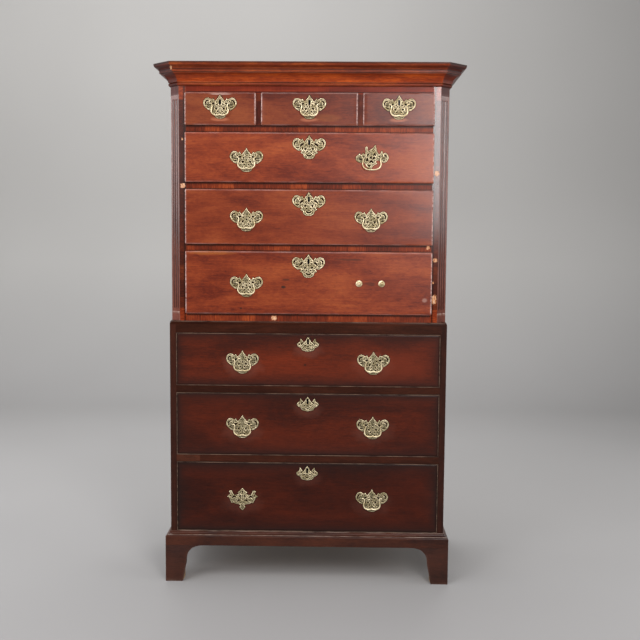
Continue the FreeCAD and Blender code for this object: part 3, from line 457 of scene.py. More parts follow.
def crossbanded(name, dark, middle, light, chips=()):
    """Rails and dividers laid with crossbanding, dark where a lip overhangs them; a divider,
    between two short drawers, is plain, and so is the frieze."""
    f = Finish(name)
    level = f.math("FLOOR", f.times(f.z, 12.0))
    along = f.fused(level, 3.71, f.times(f.x, 15.0))
    tone, grain = veneer(f, along, (210.0, 60.0, 30.0), dark, middle, light)
    frieze = f.above(FRIEZE)
    plain = f.noise((5.0, 60.0, 60.0), (2.0, 0, 0), 6.0, 0.6, 0.3)
    plain = f.ramp(plain, (0.30, dark), (0.52, middle), (0.85, light))
    tone = f.shade(frieze, f.mix(f.times(frieze, 0.7), tone, plain), (0.95, 0.70, 0.7))
    upright = f.times(f.within(f.apart(f.z, DIVIDER), 0.0528), f.within(f.unsigned(f.x), 0.30))
    tone = f.shade(f.times(upright, 0.85), tone, (0.42, 0.45, 0.6))
    # Painted shadow lines on the rails along the lips' lower and upper edges.
    for level, reach, amount in ([(z - 0.0014, 0.0029, 0.95) for z in RAIL_TOPS]
                                 + [(z + 0.0010, 0.0018, 0.85) for z in RAIL_FEET]):
        shadow = f.ramp(f.apart(f.z, level), (reach, amount), (1.8 * reach, 0.0))
        tone = f.mix(shadow, tone, (0.008, 0.004, 0.003))
    scar = f.noise((70.0, 70.0, 70.0), detail=6.0, rough=0.75)
    torn, pale = f.broken(chips)
    bare = f.most(torn, f.ramp(scar, (0.755, 0.0), (0.765, 1.0)))
    tone = f.mix(bare, tone, pale)
    height = f.fused(bare, -1.5, f.times(grain, 0.6))
    f.set(Coat_Weight=0.04, Coat_Roughness=0.15, Specular_IOR_Level=0.15)
    return f.done(tone, f.fused(grain, 0.15, 0.26), height, 0.0004, 0.5)


def bare_wood(name, dark, light, along="x", seams=None):
    """Unpolished board: rings drawn out along the grain, dirt, and dark joints between boards."""
    f = Finish(name)
    long = lambda fine, coarse: drawn_out(along, fine, coarse)
    rings = f.noise(long(60.0, 5.0), detail=8.0, rough=0.62, twist=0.9)
    fine = f.noise(long(330.0, 14.0), detail=3.0, rough=0.6)
    tone = f.ramp(f.fused(fine, 0.3, f.times(rings, 0.75)), (0.34, dark), (0.70, light))
    darkening = f.noise((5.0, 5.0, 5.0), detail=6.0, rough=0.7)
    tone = f.mix(f.ramp(darkening, (0.42, 0.0), (0.75, 0.55)), tone, tuple(0.4 * d for d in dark))
    height = f.fused(rings, 0.6, f.times(fine, 0.5))
    if seams:
        start, width = seams
        share = f.math("FRACT", f.math("DIVIDE", f.math("SUBTRACT", f.x, start), width))
        gap = f.ramp(f.apart(share, 0.5), (0.490, 0.0), (0.4975, 1.0))
        tone = f.mix(gap, tone, (0.02, 0.013, 0.008))
        height = f.fused(gap, -2.0, height)
    return f.done(tone, 0.72, height, 0.0007, 0.6)


def cast_brass(name, bright, dull, chased=True, grime=0.9, green=0.2):
    """Cast brass with old lacquer: a rubbed rim, a sunk line of grime inside it, and a chased
    field of leaves whose hollows are dark; a little verdigris lies in between."""
    f = Finish(name)
    cloud = f.noise((55.0, 55.0, 55.0), detail=5.0, rough=0.65)
    tone = f.mix(f.ramp(cloud, (0.40, 0.0), (0.60, 1.0)), bright, dull)
    height = f.times(cloud, 0.3)
    if chased:
        rim = f.mark("rim")
        tone = f.mix(f.ramp(rim, (0.30, 0.0), (0.42, 0.8)), tone, tuple(0.7 * v for v in dull))
        line = f.ramp(rim, (0.30, 0.0), (0.37, 1.0), (0.45, 1.0), (0.54, 0.0))
        field = f.ramp(rim, (0.40, 0.0), (0.52, 1.0))
        leaf = f.ramp(f.cells((165.0, 165.0, 210.0)), (0.06, 1.0), (0.20, 0.0))
        ridge = f.ramp(f.cells((165.0, 165.0, 210.0), "F1"), (0.10, 1.0), (0.34, 0.0))
        vein = f.ramp(f.noise((330.0, 330.0, 330.0), detail=2.0), (0.42, 1.0), (0.52, 0.0))
        tone = f.mix(f.times(f.times(ridge, field), 0.75), tone, bright)
        hollow = f.times(field, f.most(leaf, f.times(vein, 0.45)))
        cut = f.most(f.times(line, 0.7), hollow)
        # A painted shadow of the bail where the mark "band" is high.
        tone = f.mix(f.times(f.mark("band"), 0.9), tone, tuple(0.28 * v for v in dull))
        tone = f.mix(f.times(cut, grime), tone, (0.040, 0.032, 0.014))
        height = f.fused(cut, -0.9, f.fused(ridge, 0.4, height))
    verdigris = f.noise((110.0, 110.0, 110.0), (2.0, 0.4, 1.1), 4.0, 0.7)
    tone = f.mix(f.times(f.ramp(verdigris, (0.52, 0.0), (0.64, 1.0)), green), tone, (0.26, 0.30, 0.11))
    f.set(Metallic=0.5)
    return f.done(tone, f.fused(cloud, 0.25, 0.22), height, 0.0006, 0.8)


def old_iron(name):
    """Lock case: dark iron with rust."""
    f = Finish(name)
    rust = f.noise((60.0, 60.0, 60.0), detail=6.0, rough=0.7)
    f.set(Specular_IOR_Level=0.1)
    return f.done(f.ramp(rust, (0.35, (0.009, 0.008, 0.007)), (0.7, (0.034, 0.019, 0.012))), 0.75, rust)


def black_shade_film(name):
    """Black film under the plates: painted shade seen through the piercings and a thin painted shadow round
    each plate.
    """
    f = Finish(name)
    f.set(Specular_IOR_Level=0.05)
    return f.done((0.014, 0.006, 0.003), 0.85)


# Dark, middle and light tones are linear red, green, blue.
UPPER = ((0.106, 0.0135, 0.0048), (0.208, 0.0320, 0.0080), (0.312, 0.064, 0.0140))
LOWER = ((0.042, 0.0085, 0.0045), (0.080, 0.0125, 0.0045), (0.130, 0.018, 0.005))


def toned(tones, share):
    """Dark, middle and light tone, each multiplied by the share."""
    return [tuple(v * share for v in tone) for tone in tones]


# ---------------------------------------------------------------- drawer fronts
def key_lines(hole):
    """Lines of the net across and upward at which a keyhole begins and ends."""
    x, z = hole
    return ([x - KEY_ROUND, x - KEY_SLOT, x + KEY_SLOT, x + KEY_ROUND],
            [z - KEY_DROP, z - 2.3 * MM, z, z + KEY_ROUND])


def board_front(node, face, lap, depths, insets, corner, hole, back, rub=2.2 * MM, level_wear_and_highlight=0.3):
    """A drawer front as a height field over its own rectangle.

    The depth of a place is read from a profile of its distance to the nearest side. Near a corner
    the square net is drawn in to a quarter disc, u sqrt(1 - v v / 2) and v sqrt(1 - u u / 2), so
    that the outline turns round. Cells in the keyhole are left out.
    """
    low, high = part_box(node)
    x0, x1, z0, z1 = low.x, high.x, low.z, high.z
    edge = np.asarray(insets)
    pitch = 9 * MM

    def lines(a, b, extra):
        inner = np.linspace(a + edge[-1], b - edge[-1], max(3, int((b - a) / pitch)))
        inner = inner[np.abs(inner[:, None] - np.asarray(extra)[None]).min(1) > 0.4 * pitch]
        return np.unique(np.round(np.concatenate([a + edge, inner, extra, b - edge]), 6))

    across, upward = key_lines(hole)
    xs, zs = lines(x0, x1, across), lines(z0, z1, upward)
    x, z = np.meshgrid(xs, zs, indexing="ij")
    a, b = np.minimum(x - x0, x1 - x), np.minimum(z - z0, z1 - z)
    u, v = np.clip(1 - a / corner, 0, 1), np.clip(1 - b / corner, 0, 1)
    near = (u > 0) & (v > 0)
    pull_u, pull_v = u * np.sqrt(1 - v * v / 2), v * np.sqrt(1 - u * u / 2)
    inset = np.where(near, corner * (1 - np.hypot(pull_u, pull_v)), np.minimum(a, b))
    side_x, side_z = np.sign(x - (x0 + x1) / 2), np.sign(z - (z0 + z1) / 2)
    x = np.where(near, x + side_x * corner * (pull_u - u), x)
    z = np.where(near, z + side_z * corner * (pull_v - v), z)
    y = face + np.interp(inset, edge, depths)
    slow = ripple(np.stack([x, 0 * x, z], -1), 9.0, sum(hole))
    y = np.where(inset > edge[-1], y + 0.25 * MM * slow, y)
    middle_x, middle_z = (xs[1:] + xs[:-1]) / 2, (zs[1:] + zs[:-1]) / 2
    cell_x, cell_z = np.meshgrid(np.abs(middle_x - hole[0]), middle_z - hole[1], indexing="ij")
    slot = (cell_x < KEY_SLOT) & (cell_z > -KEY_DROP) & (cell_z < KEY_ROUND)
    round_head = (cell_x < KEY_ROUND) & (np.abs(cell_z) < KEY_ROUND)
    rim = np.exp(-np.maximum(inset - 3 * MM, 0) / (28 * MM))
    # Rubbed arrises: upright edges get the full mark and level ones only a share, so on the lips' upright
    # sides the pale tone is also a painted highlight.
    worn = np.exp(-((inset - lap) / rub) ** 2) * np.where(a <= b, 1.0, level_wear_and_highlight)
    return slab(x, z, y, back, ~(slot | round_head), {"rim": rim, "worn": worn, "band": 0 * x})


def lipped_front(name, finish):
    """Overlapping front: a quarter-round lip, a shallow step and the flat field, and behind it
    the board with the keyhole through it."""
    node = f"{name}_drawer_front"
    low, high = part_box(node)
    face = UPPER_FACE - 0.3 * MM
    turn = np.linspace(0, math.pi / 2, 7)
    insets = np.concatenate([5.5 * MM * (1 - np.cos(turn)), [7.0 * MM, 9.0 * MM]])
    depths = np.concatenate([-2.5 * MM - 5.5 * MM * np.sin(turn), [-UPPER_PROUD, -UPPER_PROUD]])
    hole = ((low.x + high.x) / 2, high.z - 32 * MM)
    lip = board_front(node, face, 2.0 * MM, depths, insets, 5 * MM, hole, face)
    across, upward = key_lines(hole)
    x, z = np.meshgrid([low.x + 6.2 * MM, *across, high.x - 6.2 * MM],
                       [low.z + 5.4 * MM, *upward, high.z - 6 * MM], indexing="ij")
    keep = np.ones((5, 5), bool)
    keep[2, 1:4] = False
    keep[1:4, 2:4] = False
    board = slab(x, z, np.full_like(x, face), UPPER_FACE + UPPER_BOARD, keep,
                 {"rim": 0.2 + 0 * x, "worn": 0 * x, "band": 0 * x})
    dress(f"{name}_front_board", join([lip, board]), finish, f"{name}_drawer", 30,
          node)


def beaded_front(name, finish):
    """Flush front with a cock bead: a half round 3 mm wide, a quirk, and the flat field."""
    node = f"{name}_drawer_front"
    low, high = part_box(node)
    turn = np.linspace(0, math.pi, 9)
    insets = np.concatenate([1.5 * MM * (1 - np.cos(turn)), [3.25 * MM, 3.7 * MM, 4.2 * MM, 8 * MM]])
    depths = np.concatenate([-2.5 * MM * np.maximum(np.sin(turn), 0) ** 0.7, [0.55 * MM, 0.45 * MM, 0, 0]])
    depths[0] = 0.4 * MM
    hole = ((low.x + high.x) / 2, high.z - 26 * MM)
    field = board_front(node, LOWER_FACE, 1.5 * MM, depths, insets, 0.6 * MM, hole, LOWER_FACE + LOWER_BOARD,
                        1.0 * MM, 1.0)
    dress(f"{name}_front_board", field, finish, f"{name}_drawer", 50, node)


# ---------------------------------------------------------------- mouldings
def run_stations(path, spacing):
    """Stations along a plan path: places, and at each the outward vector, mitred at the corners."""
    corners = np.asarray(path, float)
    along = np.diff(corners, axis=0)
    length = np.linalg.norm(along, axis=1)
    along /= length[:, None]
    out = np.stack([along[:, 1], -along[:, 0]], -1)
    share = (out[:-1] + out[1:]) / (1 + (out[:-1] * out[1:]).sum(1))[:, None]
    mitre = np.vstack([out[:1], share, out[-1:]])
    places, ways = [], []
    for k, reach in enumerate(length):
        t = np.linspace(0, 1, max(2, int(reach / spacing)) + 1)[:, None]
        t = t if k == len(length) - 1 else t[:-1]
        places.append(corners[k] + (corners[k + 1] - corners[k]) * t)
        ways.append(mitre[k] * (1 - t) + mitre[k + 1] * t)
    return np.concatenate(places), np.concatenate(ways)


def run(name, path, section, radius, dents, seed, finish, body, node):
    """Section (projection, height) carried along a plan path.

    The arrises are eased, and knocked back along the outward way by the positive part of a slow
    unevenness, so that the line of an old edge wavers.
    """
    ring = guarded(eased(section, radius), 2.2 * MM)
    places, ways = run_stations(path, 6 * MM)
    rings = np.empty((len(places), len(ring), 3))
    rings[..., :2] = places[:, None] + ways[:, None] * ring[None, :, :1]
    rings[..., 2] = ring[:, 1]
    outer, inner = corner_marks(section, ring, 1.3 * MM)
    knock = np.maximum(ripple(rings, 38.0, seed), 0) ** 2 * dents * outer[None]
    rings[..., :2] -= ways[:, None] * knock[..., None]
    dress(name, swept(rings, outer, rim=inner), finish, body, 30, node)


def below(top, pairs):
    """Points of a section from (projection, depth below its top) in millimetres."""
    return [(p * MM, top - d * MM) for p, d in pairs]


def cornice(finish):
    """Cornice: fillet, cyma, fascia, cove and bead, from the top down."""
    cyma = smooth_line(below(CORNICE_TOP, [(57, 5), (54.2, 11.4), (48.5, 14.6), (42.2, 17.8), (38, 24)]), 4)
    cove = smooth_line(below(CORNICE_TOP, [(33, 36), (24.5, 38.8), (16, 46), (10.5, 54.5), (8, 64)]), 4)
    turn = np.linspace(math.pi / 2, -math.pi / 2, 9)
    bead = np.stack([2 * MM + 6 * MM * np.cos(turn), CORNICE_LOW + 6 * MM + 6 * MM * np.sin(turn)], -1)
    section = np.vstack([below(CORNICE_TOP, [(0, 0), (57, 0)]), cyma,
                         below(CORNICE_TOP, [(38, 33), (33, 33)]), cove, bead,
                         below(CORNICE_TOP, [(0, 77)])])
    run("cornice_run", upper_path(), section, 0.7 * MM, 1.2 * MM, 3, finish, "upper_chest", "cornice")


def base(finish):
    """Base moulding: a hollow, a quarter round and the flat band."""
    hollow = smooth_line(below(BASE_TOP, [(3.0, 0), (3.6, 5.0), (6.5, 9.0), (13, 12)]), 5)
    turn = np.linspace(math.pi / 2, 0, 6)
    nose = np.stack([13 * MM + 5 * MM * np.cos(turn), BASE_TOP - 19 * MM + 5 * MM * np.sin(turn)], -1)
    section = np.vstack([below(BASE_TOP, [(0, 0)]), hollow, nose, below(BASE_TOP, [(18, 51), (0, 51)])])
    path = [(-LOWER_HALF, BACK), (-LOWER_HALF, LOWER_FACE), (LOWER_HALF, LOWER_FACE), (LOWER_HALF, BACK)]
    run("base_run", path, section, 0.8 * MM, 1.4 * MM, 7, finish, "lower_chest", "base_moulding")


def upper_path():
    """Plan outline of the upper chest's sides and front, with its canted corners."""
    edge = UPPER_FACE + CANT
    return [(-UPPER_HALF, BACK), (-UPPER_HALF, edge), (-UPPER_HALF + CANT, UPPER_FACE),
            (UPPER_HALF - CANT, UPPER_FACE), (UPPER_HALF, edge), (UPPER_HALF, BACK)]


def waist(finish):
    """Surface ruled between the square edge of the lower chest and the canted foot of the upper.

    Across it runs an ovolo: out by the cosine and up by the sine of a quarter turn.
    """
    left, right = (-LOWER_HALF, LOWER_FACE), (LOWER_HALF, LOWER_FACE)
    lower = [(-LOWER_HALF, BACK), left, left, right, right, (LOWER_HALF, BACK)]
    edges = []
    for path in (lower, upper_path()):
        rows = []
        for k, (a, b) in enumerate(zip(np.array(path)[:-1], np.array(path)[1:])):
            t = np.linspace(0, 1, (3 if k in (1, 3) else 70) + 1)[:, None]
            rows.append(a + (b - a) * (t if k == 4 else t[:-1]))
        edges.append(np.concatenate(rows))
    low, up = edges
    inner = np.stack([np.clip(up[:, 0], -0.477, 0.477), np.maximum(up[:, 1], LOWER_FACE + 22 * MM)], -1)
    turn = np.linspace(0, math.pi / 2, 12)
    share = 1 - np.cos(turn)
    rise = np.sin(turn)
    outer = low[:, None] * (1 - share)[None, :, None] + up[:, None] * share[None, :, None]
    flat = np.concatenate([inner[:, None], outer, inner[:, None]], 1)
    z = WAIST_LOW + 13 * MM * np.concatenate([[0], rise, [1]])
    rings = np.concatenate([flat, np.broadcast_to(z[None, :, None], flat.shape[:2] + (1,))], 2)
    worn = np.concatenate([[0], np.exp(-((rise - 0.86) / 0.13) ** 2), [0]])
    dress("waist_bead", swept(rings, worn[None]), finish, "lower_chest", 35,
          "waist_moulding")


def bracket_edge(reach):
    """Inner edge of a bracket as (distance from the corner, height): straight and leaning out up
    to 72 mm, then an arc-like curve whose end runs level into the base."""
    turn = np.linspace(0, 1, 15)[1:]
    inner = 76 * MM
    across = inner + (reach - inner) * turn ** 2.1
    curve = np.stack([across, 72 * MM + 64 * MM * (1 - (1 - turn) ** 1.9)], -1)
    rise = np.linspace(0, 1, 8)
    straight = np.stack([62 * MM + 14 * MM * rise, 72 * MM * rise], -1)
    return np.vstack([straight, curve])


def bracket_foot(corner, ways, reaches, thick=18 * MM):
    """Two brackets that meet in a mitre: across the foot the surface runs from the inner edge of
    one bracket, round the corner, to the inner edge of the other; below it ends on the floor.

    ways are the plan directions from the corner along the two brackets.
    """
    first, second = bracket_edge(reaches[0]), bracket_edge(reaches[1])
    a, b = np.asarray(ways[0], float), np.asarray(ways[1], float)
    t = np.concatenate([np.linspace(1, 0.03, 12), np.linspace(0.015, 0, 3)])[None, :, None]
    skins = []
    for depth in (0.0, thick):
        origin = np.asarray(corner) + (a + b) * depth
        near, far = (np.maximum(edge[:, 0] - depth, 0)[:, None, None] for edge in (first, second))
        skins.append(np.concatenate([origin + a * near * t, origin + b * far * t[:, -2::-1]], 1))
    count = t.shape[1]
    height = np.concatenate([np.tile(first[:, 1:], (1, count)),
                             np.tile(second[:, 1:], (1, count - 1))], 1)
    rings = np.concatenate([skins[0], skins[1][:, ::-1]], 1)
    rings = np.concatenate([rings, np.concatenate([height, height[:, ::-1]], 1)[..., None]], 2)
    middle = np.zeros(rings.shape[1])
    middle[count - 1] = 1.0
    middle[[0, 2 * count - 2]] = 0.7
    low = np.exp(-rings[..., 2] / (5 * MM)) * 0.8
    return swept(rings, np.maximum(middle[None], low))


def feet(finish):
    """Front feet of two brackets each, and rear feet of one bracket with a board behind it."""
    out, front, behind = LOWER_HALF + 18 * MM, LOWER_FACE - 18 * MM, BACK - 20 * MM
    for side, word in ((-1, "left"), (1, "right")):
        foot = bracket_foot((side * out, front), ((-side, 0), (0, 1)), (138 * MM, 128 * MM))
        dress(f"front_foot_{word}", foot, finish, "lower_chest", 30, "front_feet")
        edge = bracket_edge(128 * MM)
        rings = np.empty((len(edge), 4, 3))
        rings[..., 0] = side * np.array([out, out, LOWER_HALF, LOWER_HALF])
        rings[..., 1] = BACK - edge[:, 0, None] * np.array([1, 0, 0, 1])
        rings[..., 2] = edge[:, 1, None]
        board = np.empty((2, 4, 3))
        board[..., 0] = side * np.array([[LOWER_HALF, 0.440, 0.440, LOWER_HALF],
                                         [LOWER_HALF, 0.374, 0.374, LOWER_HALF]])
        board[..., 1] = [BACK, BACK, behind, behind]
        board[..., 2] = [[0.0], [0.150]]
        foot = join([swept(rings, 0.3), swept(board, 0.3)])
        dress(f"rear_foot_{word}", foot, finish, "lower_chest", 30, "rear_feet")


def canted_posts(finish):
    """Post section carried up the chest: outer side, cant with three flutes, front stile.

    The cant is 1.5 mm proud at the plinth and the capital. A flute sinks by the depth of a circle
    at its distance from the flute's middle, and fades out over its pointed ends.
    """
    front, edge = UPPER_FACE, UPPER_FACE + CANT
    back = UPPER_FACE + 45 * MM
    plan = np.array([(UPPER_HALF, back), (UPPER_HALF, edge + 0.8 * MM), (UPPER_HALF, edge),
                     (UPPER_HALF - CANT, front), (UPPER_HALF - CANT - 0.8 * MM, front),
                     (OPEN_HALF + 0.6 * MM, front), (OPEN_HALF, front + 0.6 * MM), (OPEN_HALF, back)])
    cant = plan[2] + (plan[3] - plan[2]) * np.linspace(0, 1, 61)[:, None]
    line = np.vstack([plan[:2], cant, plan[4:]])
    on_cant = np.zeros(len(line))
    on_cant[2:63] = 1
    across = np.concatenate([[0, 0], np.linspace(-0.5, 0.5, 61), np.zeros(4)]) * math.hypot(CANT, CANT)
    z = np.unique(np.concatenate([
        np.linspace(0.966, 0.996, 5), [0.9955, 0.9975, 0.999], np.linspace(1.0, 1.030, 22),
        np.linspace(1.03, 1.740, 60), np.linspace(1.740, 1.770, 22), [1.7705, 1.7720, 1.7735],
        np.linspace(1.774, 1.803, 5), [1.870]]))
    plain = np.interp(z, [0.996, 0.9985, 1.7708, 1.7730], [0.0, 1.5, 1.5, 0.0]) * MM
    radius, sunk = 4.5 * MM, 3.0 * MM
    low, high, tip = 1.008, 1.759, 9 * MM
    fade = np.clip(np.minimum(z - low, high - z) / tip, 0, 1)
    width = radius * np.sqrt(fade * (2 - fade))
    depth = np.zeros((len(z), len(line)))
    for middle in (-12 * MM, 0.0, 12 * MM):
        away = np.abs(across - middle)[None]
        ball = np.sqrt(np.maximum(radius ** 2 - away ** 2, 0)) - (radius - sunk)
        limit = np.where(away < width[:, None], 1.0, 0.0)
        depth = np.maximum(depth, np.maximum(ball, 0) * limit * np.minimum(fade[:, None] * 1.5, 1))
    inward = (depth + plain[:, None]) * on_cant[None]
    way = np.array([-1, 1]) / math.sqrt(2)
    rings = np.empty((len(z), len(line), 3))
    rings[..., :2] = line[None] + way * inward[..., None]
    rings[..., 2] = z[:, None]
    band = np.zeros(len(line))
    band[63:] = 1.0
    ridge = np.zeros_like(depth)
    ridge[:, [2, 62]] = 1.0
    hollow = depth / sunk
    ends = np.exp(-(np.minimum(np.abs(z - 0.9970), np.abs(z - 1.7722)) / (1.6 * MM)) ** 2)
    worn = np.maximum(ridge, ends[:, None] * on_cant[None])
    for side, word in ((1, "right"), (-1, "left")):
        shape = swept(rings * np.array([side, 1, 1]), worn, band, hollow)
        dress(f"canted_post_{word}", shape, finish[word], "upper_chest", 30,
              "upper_canted_posts")


# ---------------------------------------------------------------- brass
def mirrored_ring(half, width, height):
    """Smooth closed outline from hundredths of half the width and height, mirrored on the middle."""
    right = np.array(half) / 100
    left = right[::-1] * (-1, 1)
    left = left[np.abs(left[:, 0]) > 1e-6]
    ring = np.vstack([right, left]) * (width / 2, height / 2)
    return smooth_line(ring, 5, closed=True)


def ring_distance(px, pz, ring):
    """Distance of every place to a closed ring, positive inside: the least distance to its
    sides, with the sign from how often a level ray crosses them."""
    a, b = ring, np.roll(ring, -1, 0)
    side = b - a
    vx, vz = px[:, None] - a[None, :, 0], pz[:, None] - a[None, :, 1]
    t = np.clip((vx * side[:, 0] + vz * side[:, 1]) / np.maximum((side ** 2).sum(1), 1e-18), 0, 1)
    near = np.hypot(vx - t * side[:, 0], vz - t * side[:, 1]).min(1)
    above = (a[None, :, 1] > pz[:, None]) != (b[None, :, 1] > pz[:, None])
    with np.errstate(divide="ignore", invalid="ignore"):
        cross = a[:, 0] + (pz[:, None] - a[:, 1]) * side[:, 0] / side[:, 1]
    inside = (above & (px[:, None] < cross)).sum(1) % 2 == 1
    return np.where(inside, near, -near)


def stroke_distance(px, pz, line, width, taper=0.55):
    """Distance outside a stroke: to its line, less half its width, which tapers to its ends."""
    line = np.asarray(line, float)
    a, side = line[:-1], np.diff(line, axis=0)
    vx, vz = px[:, None] - a[None, :, 0], pz[:, None] - a[None, :, 1]
    t = np.clip((vx * side[:, 0] + vz * side[:, 1]) / (side ** 2).sum(1), 0, 1)
    away = np.hypot(vx - t * side[:, 0], vz - t * side[:, 1])
    share = (t + np.arange(len(a))) / len(a)
    half = width / 2 * (1 - taper + taper * np.sin(np.pi * share))
    return (away - half).min(1)


def both(strokes):
    """Strokes right of the middle and their mirror images."""
    return strokes + [([(-x, z) for x, z in line], width) for line, width in strokes]


# Outlines of the plates, in hundredths of half their width and height.
WINGED = [(0, 100), (3.5, 90), (10, 74), (20, 60), (24.5, 50), (30, 46), (36, 56), (41, 68), (46, 60),
          (53, 60), (64, 70), (80, 71), (93, 57), (100, 29), (93, 0), (78, -20), (64, -31), (50, -28),
          (44, -35), (51, -50), (40, -56), (34, -68), (30, -86), (16, -98), (0, -100)]
SPIKED = [(0, 100), (3, 93), (22, 66), (32, 58), (24, 50), (27, 42), (40, 36), (55, 36), (62, 50),
          (68, 68), (76, 74), (88, 68), (83, 58), (80, 46), (92, 30), (100, 20), (88, 14), (84, 2),
          (78, -14), (70, -36), (60, -32), (46, -42), (28, -46), (12, -56), (19, -72), (10, -86),
          (0, -100)]
SMALL = [(0, 100), (5, 90), (16, 66), (27, 38), (36, 27), (46, 36), (55, 58), (68, 78), (70, 56),
         (74, 38), (86, 25), (97, 10), (100, -6), (93, -26), (80, -40), (66, -46), (60, -62),
         (54, -80), (38, -90), (18, -96), (0, -100)]
ODD = [(20, 131), (24, 112), (28, 86), (36, 62), (44, 50), (52, 60), (56, 78), (62, 80), (64, 66),
       (66, 56), (78, 65), (91, 56), (100, 31), (97, 10), (88, -8), (75, -17), (62, -12), (52, -3),
       (36, 3), (25, -5), (27, -16), (31, -26), (20, -36), (7, -45), (2, -58), (-4, -70), (-16, -68),
       (-34, -45), (-43, -22), (-50, -10), (-60, -15), (-71, -17), (-86, -8), (-96, 10), (-96, 28),
       (-88, 42), (-78, 50), (-74, 60), (-69, 48), (-62, 46), (-56, 54), (-51, 63), (-47, 52),
       (-40, 54), (-38, 78), (-40, 102), (-33, 117), (-26, 106), (-27, 84), (-20, 80), (-7, 93),
       (8, 108)]
# Piercings in millimetres from the middle of the plate: a line and its greatest width.
KEYHOLE = [([(0, 2.0), (0, 2.1)], 9.2), ([(0, 2.0), (0, -9.5)], 7.8)]
WINGED_CUTS = both([([(20, 11), (25, 9.5), (31.5, 2.5)], 5.4),
                    ([(40, 21), (47.5, 20), (52, 13), (50.5, 5)], 3.6),
                    ([(47, -1), (41, -3.5), (35, -2.5)], 3.2), ([(35, 19), (31.5, 14)], 2.8),
                    ([(9, -5), (14.5, -6.5), (12.5, -11)], 4.0), ([(22.5, 0), (24.3, -5), (22, -11)], 2.4),
                    ([(5, -15), (10, -19)], 3.4), ([(8, 9), (13, 5)], 3.2), ([(10, 18), (13, 14)], 2.4),
                    ([(13, -22), (16, -26)], 2.4)])
WINGED_CUTS += [([(-9, -26), (-4, -31), (4, -31), (9, -26)], 4.0), ([(0, 3), (0, -3)], 3.0)]
SPIKED_CUTS = both([([(6, 14), (10, 10), (6, 6)], 4.0), ([(24, 6), (31, 10), (37, 4)], 4.6),
                    ([(44, 15), (46, 8)], 3.0), ([(7, -5), (14, -4), (18, -10)], 4.4),
                    ([(4, -14), (8, -16)], 3.0), ([(18, 10), (22, 13)], 2.6), ([(26, -6), (30, -9)], 3.0),
                    ([(40, 22), (42, 18)], 2.4), ([(14, 2), (19, 3)], 2.6)])
SPIKED_CUTS += [([(0, 24), (0, 30)], 4.4), ([(0, 2), (0, -3)], 3.0), ([(-5, 20), (5, 20)], 2.2)]
ODD_CUTS = [([(x, z), (x + 0.1, z)], 3.9) for x, z in ((4.8, 40), (4.8, 32), (1.0, 36), (8.6, 36))]
ODD_CUTS += [([(-16, 14), (-14, 21), (-10, 24)], 3.6), ([(6, 18), (10, 24), (13, 18)], 3.4),
             ([(3, 4), (8, 11), (12, 7)], 3.6), ([(-8, -6), (-1, -2), (5, -8)], 4.0),
             ([(-20, -2), (-16, 6), (-13, -3)], 3.4), ([(-8, 8), (-3, 13), (-2, 6)], 3.2),
             ([(-16, -14), (-9, -20), (-4, -15)], 3.0), ([(24, 16), (29, 12)], 3.0),
             ([(44, 20), (50, 17), (51, 10)], 3.2), ([(-46, 12), (-42, 4), (-36, 2)], 3.4),
             ([(-30, 12), (-26, 16)], 3.0), ([(46, 2), (40, -1)], 2.8), ([(-12, 30), (-8, 32)], 2.6)]
SMALL_CUTS = both([([(17, 6), (22, 4), (24, -1)], 3.6), ([(8, -4), (13, -7)], 3.4),
                   ([(29, 3), (31, -3)], 2.6), ([(15, -12), (19, -9)], 2.4), ([(8, 6), (11, 2)], 2.4)])
SMALL_CUTS += [([(-8, -13), (0, -17), (8, -13)], 2.8)]


